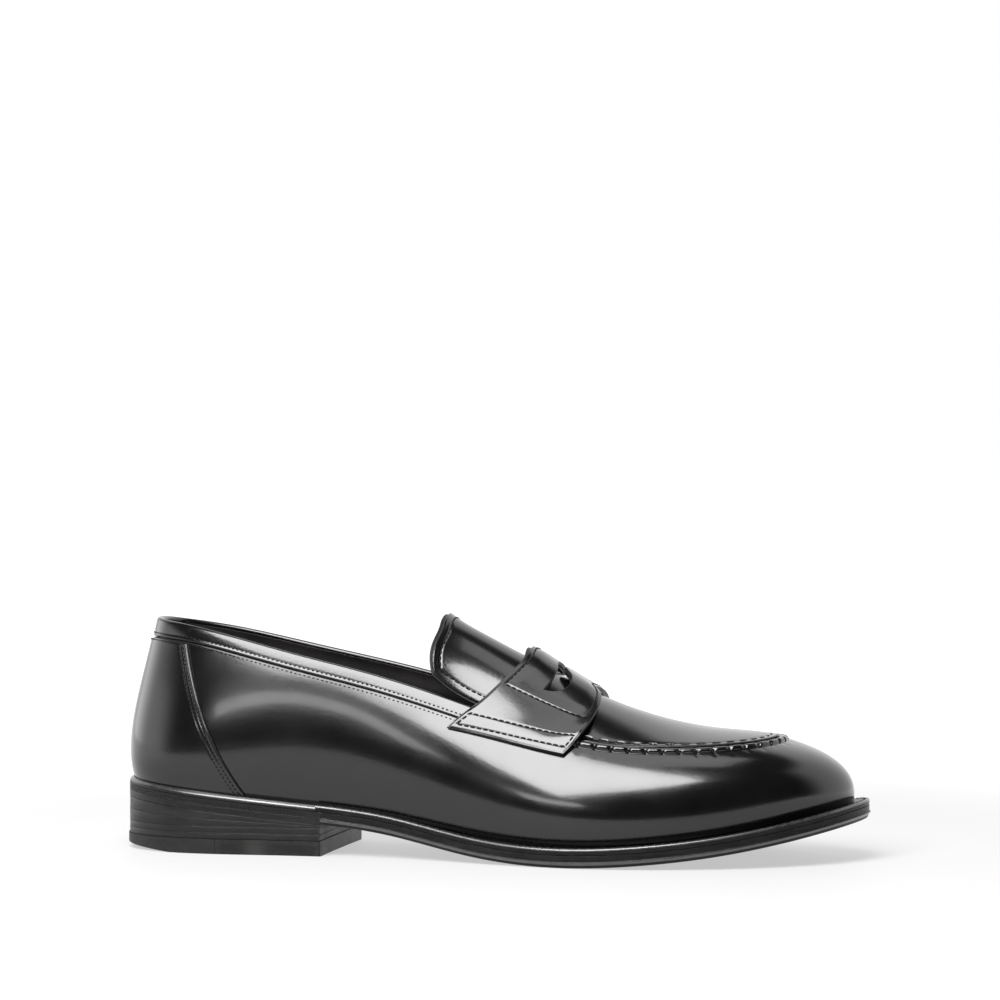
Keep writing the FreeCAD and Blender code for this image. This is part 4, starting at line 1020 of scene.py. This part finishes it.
def build_collar():
    t = np.linspace(-COLLAR_FRONT, COLLAR_FRONT, 520)
    steep = sample_gap(wall, t, np.full(len(t), 0.97), step_b=0.03)
    wide = (1 - band_level(t)) * steep
    r, outer, inner = 1.3, 0.42, -2.18
    mid = (outer + inner) / 2
    rows = [(wide, -0.25 + 0 * t), (wide + 0.02, 0.12 + 0 * t), (wide - 0.08, 0.34 + 0 * t), (wide - 0.3,
                                                                                              outer + 0.06 + 0 * t),
            (wide - 0.7, outer + 0.08 + 0 * t), (wide - 1.1, outer - 0.02 + 0 * t), (wide - 1.45,
                                                                                     outer - 0.10 + 0 * t),
            (wide - 1.8, outer - 0.03 + 0 * t), (wide - 2.3, outer + 0 * t), (wide - 3.2,
                                                                              outer + 0.03 + 0 * t),
            (wide - 4.2, outer + 0.03 + 0 * t), (0 * t + 2.6, outer + 0.02 + 0 * t)]
    for k in range(13):
        angle = math.pi * k / 12
        rows.append((r - (r + 0.05) * math.sin(angle) + 0 * t, mid + r * math.cos(angle) + 0 * t))
    rows += [(0 * t + 2.6, inner + 0 * t), (0 * t + 4.5, inner + 0 * t), (0 * t + 6.2, inner + 0.02 + 0 * t),
             (0 * t + 6.45, inner + 0.12 + 0 * t), (0 * t + 6.5, inner + 0.4 + 0 * t)]
    points = []
    for distance, depth in rows:
        points.append(wall_out(t, 1 - distance / steep, depth))
    kinds = [1, 0, 0, 0, 0, 0, 0, 0, 0, 0, 0, 0] + [0] * 13 + [0, 0, 0, 1, 2]
    kinds = (kinds + [2] * len(rows))[:len(rows)]
    sweep("CollarBand", np.stack(points, 1), SKIN, slots=kinds, slot="upper_leather",
          replaces=("collar_band",))
    runs, fine = [], np.linspace(-COLLAR_FRONT + 0.03, COLLAR_FRONT - 0.03, 2400)
    steep = sample_gap(wall, fine, np.full(len(fine), 0.97), step_b=0.03)
    wide = (1 - band_level(fine)) * steep
    runs.append((*wall_row(fine, 1 - (wide - 1.45) / steep, outer - 0.10), False))
    stitches("CollarStitching", runs, THREAD, pitch=1.95, fill=0.66, radius=0.30, proud=0.05,
             slot="waxed_thread")
    below = []
    for lo, hi, depth in ((-COLLAR_FRONT + 0.03, -FOXING_HEAD - 0.06, 0.0), (-FOXING_HEAD + 0.02,
                                                                             FOXING_HEAD - 0.02, 0.98),
                          (FOXING_HEAD + 0.06, COLLAR_FRONT - 0.03, 0.0)):
        keep = (fine > lo) & (fine < hi)
        below.append((*wall_row(fine[keep], 1 - (wide[keep] + 1.55) / steep[keep], depth), False))
    stitches("CollarLowerStitching", below, THREAD, pitch=1.95, fill=0.62, radius=0.26, proud=0.02,
             slot="waxed_thread")


def build_linings():
    t = np.linspace(-5.6, 5.6, 300)
    v = np.linspace(0.07, 0.975, 60)
    depth = lambda v: -mix(2.56, 1.38, smooth(v, 0.84, 0.97))
    tt, vv = np.broadcast_arrays(t[:, None], v[None, :])
    sheet_piece("QuarterLining", wall_out(tt, vv, depth(vv)), wall_normal(tt, vv), 0.9, [LINING_MAT] * 3,
                slot="lining_leather", replaces=("quarter_lining",))
    t = np.linspace(5.63, N - 5.63, 260)
    v = np.linspace(0.07, 0.93, 40)
    tt, vv = np.broadcast_arrays(t[:, None], v[None, :])
    sheet_piece("VampLining", wall_out(tt, vv, depth(vv)), wall_normal(tt, vv), 0.9, [LINING_MAT] * 3,
                slot="lining_leather", replaces=("vamp_lining",))
    runs = []
    for side in (-1, 1):
        f = np.linspace(0.30, 0.90, 200)
        p, n = wall_row(0 * f + side * 0.42, f, depth(f) - 0.98)
        runs.append((p, -n, False))
    stitches("LiningStitching", runs, THREAD, pitch=2.6, fill=0.7, radius=0.25, proud=0.02,
             slot="waxed_thread")


def build_sock():
    top = 3.36 + 2.9 + 0.08
    inset = 3.28 + 0.35 + 1.2
    t = np.linspace(0, N, 400, endpoint=False)
    rings = []
    for d, z in ((0.0, 0.25), (-0.12, 0.5), (0.0, 0.8), (0.3, 0.98), (0.9, 1.02), (1.6, 0.98), (2.0,
                                                                                                0.90),
                 (2.4, 0.98),
                 (3.4, 1.04), (5.0, 1.04)):
        p = ring(FEATHER, t) - outward(FEATHER, t) * (inset + d)
        p[:, 2] = welt_top(p[:, 0]) + top + z
        rings.append(p)
    first = rings[0].copy()
    first[:, 2] -= 0.22
    under = lambda p: np.stack([p[:, 0], p[:, 1], welt_top(p[:, 0]) + top + 0.02], -1)
    over = lambda p: np.stack([p[:, 0], p[:, 1], welt_top(p[:, 0]) + top + 1.04], -1)
    loft("SockLiner", [first] + rings, [SOCK_MAT], under, over, columns=22, slot="sock_leather",
         replaces=("sock_liner",))
    p = ring(FEATHER, t) - outward(FEATHER, t) * (inset + 2.0)
    p[:, 2] = welt_top(p[:, 0]) + top + 0.92
    keep = p[:, 0] < 190
    order = np.roll(np.arange(len(t)), -int(np.argmin(keep)))
    order = order[keep[order]]
    stitches("SockStitching", [(p[order], p[order] * 0 + UP, False)], THREAD, pitch=2.8, fill=0.7,
             radius=0.26,
             proud=0.05, slot="waxed_thread")


# ------------------------------------------------------------------ tongue
TONGUE_ROW = 2.9                # stitch row inside the tongue's edge
TONGUE_ROOT_X = 177.5           # the tongue's root lies on the apron, under the strap


def tongue_grid(reach, qs, ws):
    w = np.linspace(0.02 - reach * 0.01, 0.98 + reach * 0.01, ws)
    root = (176.0 - TONGUE_ROOT_X) / 14
    share = 1 - (1 - np.linspace(0, 1, qs)) ** 1.6
    q = root + share[:, None] * (tongue_end(w)[None, :] + reach / 14 - root)
    w = np.broadcast_to(w, q.shape)
    return q, w


def tongue_point(q, w, depth):
    """The tongue's face at a depth along its normal, and the normal."""
    p, n = tongue_face(q, w), tongue_normal(q, w)
    return p + n * np.asarray(depth)[..., None], n


def build_tongue():
    q, w = tongue_grid(0, 150, 161)
    p, n = tongue_point(q, w, 0 * q)
    border = np.concatenate([p[-1], p[:, 0], p[:, -1]])
    near = nearest(p.reshape(-1, 3), border).reshape(q.shape)
    lift = -0.16 * np.exp(-((near - TONGUE_ROW) / 0.45) ** 2) + 0.06 * np.exp(-((near - 0.6) / 0.5) ** 2)
    p = p + n * lift[..., None]
    obj = sheet_piece("Tongue", p, n, LEATHER, SKIN, body=None, bulge=0.3, square=0.7,
                      slot="upper_leather", replaces=("tongue",))
    q2, w2 = tongue_grid(0.9, 110, 121)
    p2, n2 = tongue_point(q2, w2, 0 * q2 - LEATHER - 0.08)
    under = sheet_piece("TongueLining", p2, n2, LINING, [LINING_MAT] * 3, body=None, bulge=0.25, square=0.7,
                        slot="lining_leather", replaces=("tongue_lining",))
    row = stitch_row_inside(p, n, near, TONGUE_ROW)
    seam = stitches("TongueStitching", [(*row, False)], THREAD, pitch=2.65, fill=0.92, radius=0.38,
                    proud=0.08,
                    body=None, slot="waxed_thread")
    for piece in (obj, under, seam):
        bend(piece)


def bend(piece):
    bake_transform(piece)


def nearest(points, border):
    """Distance from each point to a dense line of points."""
    best = np.full(len(points), 1e9)
    for k in range(0, len(border), 64):
        d = np.linalg.norm(points[:, None] - border[None, k:k + 64], axis=-1).min(1)
        best = np.minimum(best, d)
    return best


def stitch_row_inside(p, n, near, inset):
    """The line on the grid at a distance inside its edge: up one side, round the rear, down the other."""
    rows, cols = near.shape
    centre = cols // 2

    def cross(line, points, norms):
        above = np.where((line[:-1] < inset) & (line[1:] >= inset))[0]
        if not len(above):
            return None
        k = above[0]
        f = (inset - line[k]) / (line[k + 1] - line[k])
        return mix(points[k], points[k + 1], f), mix(norms[k], norms[k + 1], f)

    left, right = [], []
    for i in range(rows):
        a = cross(near[i, :centre], p[i, :centre], n[i, :centre])
        b = cross(near[i, ::-1][:centre], p[i, ::-1][:centre], n[i, ::-1][:centre])
        if a is not None and b is not None:
            left.append(a)
            right.append(b)
    across = [cross(near[::-1, j], p[::-1, j], n[::-1, j]) for j in range(cols)]
    across = [a for a in across if a is not None]
    points = np.array([a[0] for a in across])
    first, last = [int(np.argmin(np.linalg.norm(points - side[-1][0], axis=1))) for side in (left, right)]
    path = left + across[first + 1:last] + right[::-1]
    return np.array([a[0] for a in path]), np.array([a[1] for a in path])


# ------------------------------------------------------------------ strap
TAB_S, TAB_P = (0.045, 0.962), (0.020, 0.032, 0.0775, 0.089)   # tab seam: rear, front; lower and upper row
PANEL_S, PANEL_P = (0.052, 0.945), (0.240, 0.190)             # penny panel seam: rear, front; along the strap
SEAM_DENT = 0.17                # the strap's stitches sink this far


def slot_depth(p):
    """How far the slot's front edge lies ahead of its rear edge, across the strap."""
    f = (p - SLOT_SPAN[0]) / (SLOT_SPAN[1] - SLOT_SPAN[0])
    g = np.clip(abs(2 * f - 1), 0, 1)
    lobe = SLOT_DEPTH * np.sqrt(np.clip(1 - (np.clip(g - LOBE_AT, 0, 1) / (1 - LOBE_AT)) ** 4, 0, 1))
    notch = mix(SLOT_CUSP, SLOT_DEPTH, smooth(g, -0.1, LOBE_AT))
    return np.where(abs(2 * f - 1) >= 1, 0.0, np.where(g > LOBE_AT, lobe, notch))


def strap_seams():
    """Stitch lines on the strap, in strap coordinates: two tabs and the panel."""
    lines = []
    for flip in (False, True):
        side = lambda q: 1 - np.asarray(q) if flip else np.asarray(q)
        (r, f), (a, b, c, d) = TAB_S, TAB_P
        corners = [(r, a), (f, b), (f - 0.004, d), (r, c), (r, a)]
        lines.append([(s, float(side(p))) for s, p in corners])
    (r, f), (a, b) = PANEL_S, PANEL_P
    lines.append([(r, a), (f, b), (f, 1 - b), (r, 1 - a), (r, a)])
    return lines


def walk(corners, count=260):
    """Dense strap coordinates along a polygon."""
    s, p = [], []
    for (s0, p0), (s1, p1) in zip(corners, corners[1:]):
        f = np.linspace(0, 1, count, endpoint=False)
        s.append(mix(s0, s1, f))
        p.append(mix(p0, p1, f))
    return np.concatenate(s), np.concatenate(p)


def slotted(depth, span, rows=(30, 34), columns=420):
    """Vertices, normals, strap coordinates and faces of the strap's sheet with the slot left open."""
    p = np.linspace(*span, columns)
    for edge in SLOT_SPAN:
        p[np.argmin(abs(p - edge))] = edge
    near = lambda n: 0.5 - 0.5 * np.cos(np.pi * np.linspace(0, 1, n))
    rear = SLOT_REAR * near(rows[0])
    s1 = np.broadcast_to(rear[:, None], (rows[0], columns))
    start = SLOT_REAR + slot_depth(p)
    s2 = start[None, :] + (1 - start)[None, :] * near(rows[1])[:, None]
    s = np.concatenate([s1, s2[1:]])
    first = rows[0] - 1
    open_cols = np.where(slot_depth(p) > 1e-9)[0]
    index = np.arange(s.size).reshape(s.shape)
    extra_s, extra_p = s2[0][open_cols], p[open_cols]
    faces = []
    spare = {int(c): s.size + k for k, c in enumerate(open_cols)}
    for i in range(s.shape[0] - 1):
        for k in range(columns - 1):
            a, d = index[i, k], index[i, k + 1]
            if i == first:
                a, d = spare.get(k, a), spare.get(k + 1, d)
            faces.append((int(a), int(index[i + 1, k]), int(index[i + 1, k + 1]), int(d)))
    ss = np.concatenate([s.ravel(), extra_s])
    pp = np.concatenate([np.broadcast_to(p, s.shape).ravel(), extra_p])
    n = strap_normal(ss, pp)
    return strap_face(ss, pp) + n * depth, n, ss, pp, faces


def build_strap():
    v, n, s, p, faces = slotted(0.0, (0.0, 1.0))
    lift = np.zeros(len(v))
    runs = []
    for line in strap_seams():
        ls, lp = walk(line)
        path, normal = strap_face(ls, lp), strap_normal(ls, lp)
        lift -= SEAM_DENT * np.exp(-(nearest(v, path[::3]) / 0.45) ** 2)
        runs.append((path - normal * SEAM_DENT, normal, True))
    (r, f), (a, b) = PANEL_S, PANEL_P
    border = mix(a, b, (s - r) / (f - r))
    inside = (np.minimum(p, 1 - p) - border) * 150
    panel = smooth(inside, 0.3, 9) * smooth(s, r, r + 0.12) * (1 - smooth(s, f - 0.12, f))
    lift += 0.30 * panel
    rim = [(end, q) for end in (0, 1) for q in np.linspace(0, 1, 400)]
    rim += [(q, end) for end in (0, 1) for q in np.linspace(0, 1, 120)]
    edge = strap_face(*np.array(rim).T)
    far = nearest(v, edge)
    lift -= 0.22 * np.exp(-(far / 0.55) ** 2)
    verts, f_, slots, _ = shell(v + n * lift[:, None], n, faces, STRAP_THICK, bulge=0.22, square=0.55)
    make("SaddleStrap", verts, f_, SKIN, slots, slot="upper_leather", replaces=("saddle_strap",))
    stitches("StrapStitching", runs, THREAD, pitch=2.65, fill=0.92, radius=0.38, proud=0.10,
             slot="waxed_thread")


def build_backing():
    """The strap's backing shows as a second edge at the strap's rear and front, where it lifts."""
    v, n, s, p, faces = slotted(-STRAP_THICK - 0.07, (0.235, 0.765), columns=240)
    along = unit(strap_face(np.minimum(s + 0.01, 1), p) - strap_face(np.maximum(s - 0.01, 0), p))
    crest = np.exp(-((p - 0.47) / 0.10) ** 2)
    rear = smooth(0.10 - s, 0, 0.10) * crest
    front = smooth(s - 0.92, 0, 0.08) * crest
    v = (v - along * (rear * 1.5)[:, None] + along * (front * 1.2)[:, None]
         + n * (front * 0.15 - rear * 0.1)[:, None])
    verts, f_, slots, _ = shell(v, n, faces, 0.7, bulge=0.2, square=0.6)
    make("StrapBacking", verts, f_, [LINING_MAT, EDGE_INK, FLESH_SIDE], slots, slot="upper_leather",
         replaces=("strap_backing",))


# ------------------------------------------------------------------ studio
def to_frame(x, y, z):
    return Vector(((np.array([x, y, z]) - ORIGIN) / 1000).tolist())


def build_camera():
    azimuth, elevation, distance = math.radians(12.76), math.radians(4.72), 1500.0
    toward = np.array([-math.sin(azimuth) * math.cos(elevation), math.cos(azimuth) * math.cos(elevation),
                       -math.sin(elevation)])
    eye = to_frame(*(np.array([152.5, 0, 45.0]) - toward * distance))
    turn, pitch = math.radians(12.71), math.radians(-0.99)
    data = bpy.data.cameras.new("Camera")
    data.lens, data.sensor_width = 132.66, 36.0
    data.clip_start, data.clip_end = 0.05, 60.0
    camera = bpy.data.objects.new("Camera", data)
    camera.location = eye
    camera.rotation_euler = (math.pi / 2 + pitch, 0, turn)
    bpy.context.scene.collection.objects.link(camera)
    bpy.context.scene.camera = camera


def area_light(name, spot, aim, size, radiance, long_axis=None):
    """Softbox of a size in metres; radiance is what a mirror would show."""
    data = bpy.data.lights.new(name, "AREA")
    data.shape = "RECTANGLE"
    data.size, data.size_y = size
    data.energy = radiance * math.pi * size[0] * size[1]
    lamp = bpy.data.objects.new(name, data)
    lamp.location = spot
    away = (Vector(spot) - Vector(aim)).normalized()
    if long_axis:
        long_side = Vector(long_axis).normalized()
        away = (away - long_side * away.dot(long_side)).normalized()
        turn = Matrix((long_side, away.cross(long_side), away)).transposed()
        lamp.rotation_euler = turn.to_euler()
    else:
        lamp.rotation_euler = away.to_track_quat("Z", "Y").to_euler()
    bpy.context.scene.collection.objects.link(lamp)
    return lamp


# light from the dark room, its back wall and the heel's side
ROOM, BACK_WALL, HEEL_PANEL = 0.04, 1.3, 2.0
BACK_WALL_FROM, BACK_WALL_TOP = (-0.15, 0.25), (0.85, 0.72)
HEEL_PANEL_FROM, HEEL_PANEL_TOP = (-0.72, -0.92), (0.40, 0.25)


def build_world():
    """White surround for the camera; a dark studio with a pale far wall for everything else."""
    world = bpy.data.worlds.new("Studio")
    bpy.context.scene.world = world
    world.use_nodes = True
    tree = world.node_tree
    tree.nodes.clear()
    add, link = lambda kind: tree.nodes.new("ShaderNode" + kind), tree.links.new
    out, mixer, path = add("OutputWorld"), add("MixShader"), add("LightPath")
    seen, room = add("Background"), add("Background")
    seen.inputs["Color"].default_value = (1, 1, 1, 1)
    seen.inputs["Strength"].default_value = 1.0
    coord, split = add("TexCoord"), add("SeparateXYZ")
    link(coord.outputs["Generated"], split.inputs[0])

    def math_node(kind, a, b):
        node = add("Math")
        node.operation = kind
        for socket, value in zip(node.inputs, (a, b)):
            if isinstance(value, float):
                socket.default_value = value
            else:
                link(value, socket)
        return node.outputs[0]

    def fade(axis, low, high):
        """0 to 1 as the direction's component goes from low to high."""
        node = add("MapRange")
        node.interpolation_type = "SMOOTHSTEP"
        node.inputs["From Min"].default_value, node.inputs["From Max"].default_value = low, high
        link(axis, node.inputs["Value"])
        return node.outputs["Result"]

    side, depth, height = (split.outputs[k] for k in "XYZ")
    back = math_node("MULTIPLY", fade(depth, *BACK_WALL_FROM), fade(height, *BACK_WALL_TOP))
    level = math_node("ABSOLUTE", height, 0.0)
    panel = math_node("MULTIPLY", fade(side, *HEEL_PANEL_FROM), fade(level, *HEEL_PANEL_TOP))
    lit = math_node("ADD", math_node("MULTIPLY", back, BACK_WALL), math_node("MULTIPLY", panel, HEEL_PANEL))
    link(math_node("ADD", lit, ROOM), room.inputs["Strength"])
    link(path.outputs["Is Camera Ray"], mixer.inputs[0])
    link(room.outputs[0], mixer.inputs[1])
    link(seen.outputs[0], mixer.inputs[2])
    link(mixer.outputs[0], out.inputs[0])


def build_floor():
    mat = bpy.data.materials.new("studio_floor")
    mat.use_nodes = True
    tree = mat.node_tree
    bsdf = tree.nodes["Principled BSDF"]
    bsdf.inputs["Base Color"].default_value = (0.24, 0.24, 0.24, 1)
    bsdf.inputs["Roughness"].default_value = 0.6
    bsdf.inputs["Specular IOR Level"].default_value = 0.1
    bsdf.inputs["Emission Color"].default_value = (1, 1, 1, 1)
    coord, reach, glow = (tree.nodes.new("ShaderNode" + kind) for kind in ("TexCoord", "VectorMath",
                                                                           "MapRange"))
    reach.operation = "LENGTH"
    glow.interpolation_type = "SMOOTHSTEP"
    glow.inputs["From Min"].default_value, glow.inputs["From Max"].default_value = 0.20, 0.70
    glow.inputs["To Min"].default_value, glow.inputs["To Max"].default_value = 0.52, 1.0
    tree.links.new(coord.outputs["Object"], reach.inputs[0])
    tree.links.new(reach.outputs["Value"], glow.inputs["Value"])
    tree.links.new(glow.outputs["Result"], bsdf.inputs["Emission Strength"])
    mesh = bpy.data.meshes.new("Floor")
    mesh.from_pydata([(-7, -0.5, 0), (7, -0.5, 0), (7, 11, 0), (-7, 11, 0)], [], [(0, 1, 2, 3)])
    mesh.materials.append(mat)
    floor = bpy.data.objects.new("Floor", mesh)
    bpy.context.scene.collection.objects.link(floor)


def build_studio():
    build_camera()
    build_world()
    build_floor()
    area_light("Key", (-0.206, -0.722, 0.945), (0, 0, 0), (1.1, 0.60), 14.0, (0.744, 0.512, 0.427))
    area_light("HeelSide", (-0.42, -1.11, 0.37), (0, 0, 0), (0.42, 0.10), 7.5, (0.90, -0.25, 0.25))
    area_light("Overhead", (0.0, 0.05, 1.3), (0, 0, 0.05), (0.8, 0.5), 2.0)
    scene = bpy.context.scene
    scene.view_settings.view_transform = "Standard"
    scene.view_settings.look = "None"


build_welt()
build_outsole()
build_heel()
build_vamp()
build_margin()
build_apron("Apron", LEATHER, 0.0, 0.0, SKIN, ("apron",), True)
build_apron("ApronLining", LINING, -LEATHER - 0.08, 3.5, [LINING_MAT] * 3, ("apron_lining",), False)
build_apron_stitching()
build_foxing()
build_collar()
build_linings()
build_sock()
build_tongue()
build_strap()
build_backing()
for node, material in (
        ("top_piece_rubber", RUBBER_MAT), ("top_piece_leather", STACK_MAT), ("top_piece_pins", BRASS_MAT),
        ("heel_nails", BRASS_MAT), ("insole", INSOLE_MAT), ("heel_pad", FOAM_MAT), ("insole_rib", CANVAS_MAT),
        ("steel_shank", STEEL_MAT), ("cork_filler", CORK_MAT), ("heel_counter", STIFF_MAT),
        ("toe_puff", STIFF_MAT), ("side_stays", STIFF_MAT)):
    dress(node, material)
build_studio()
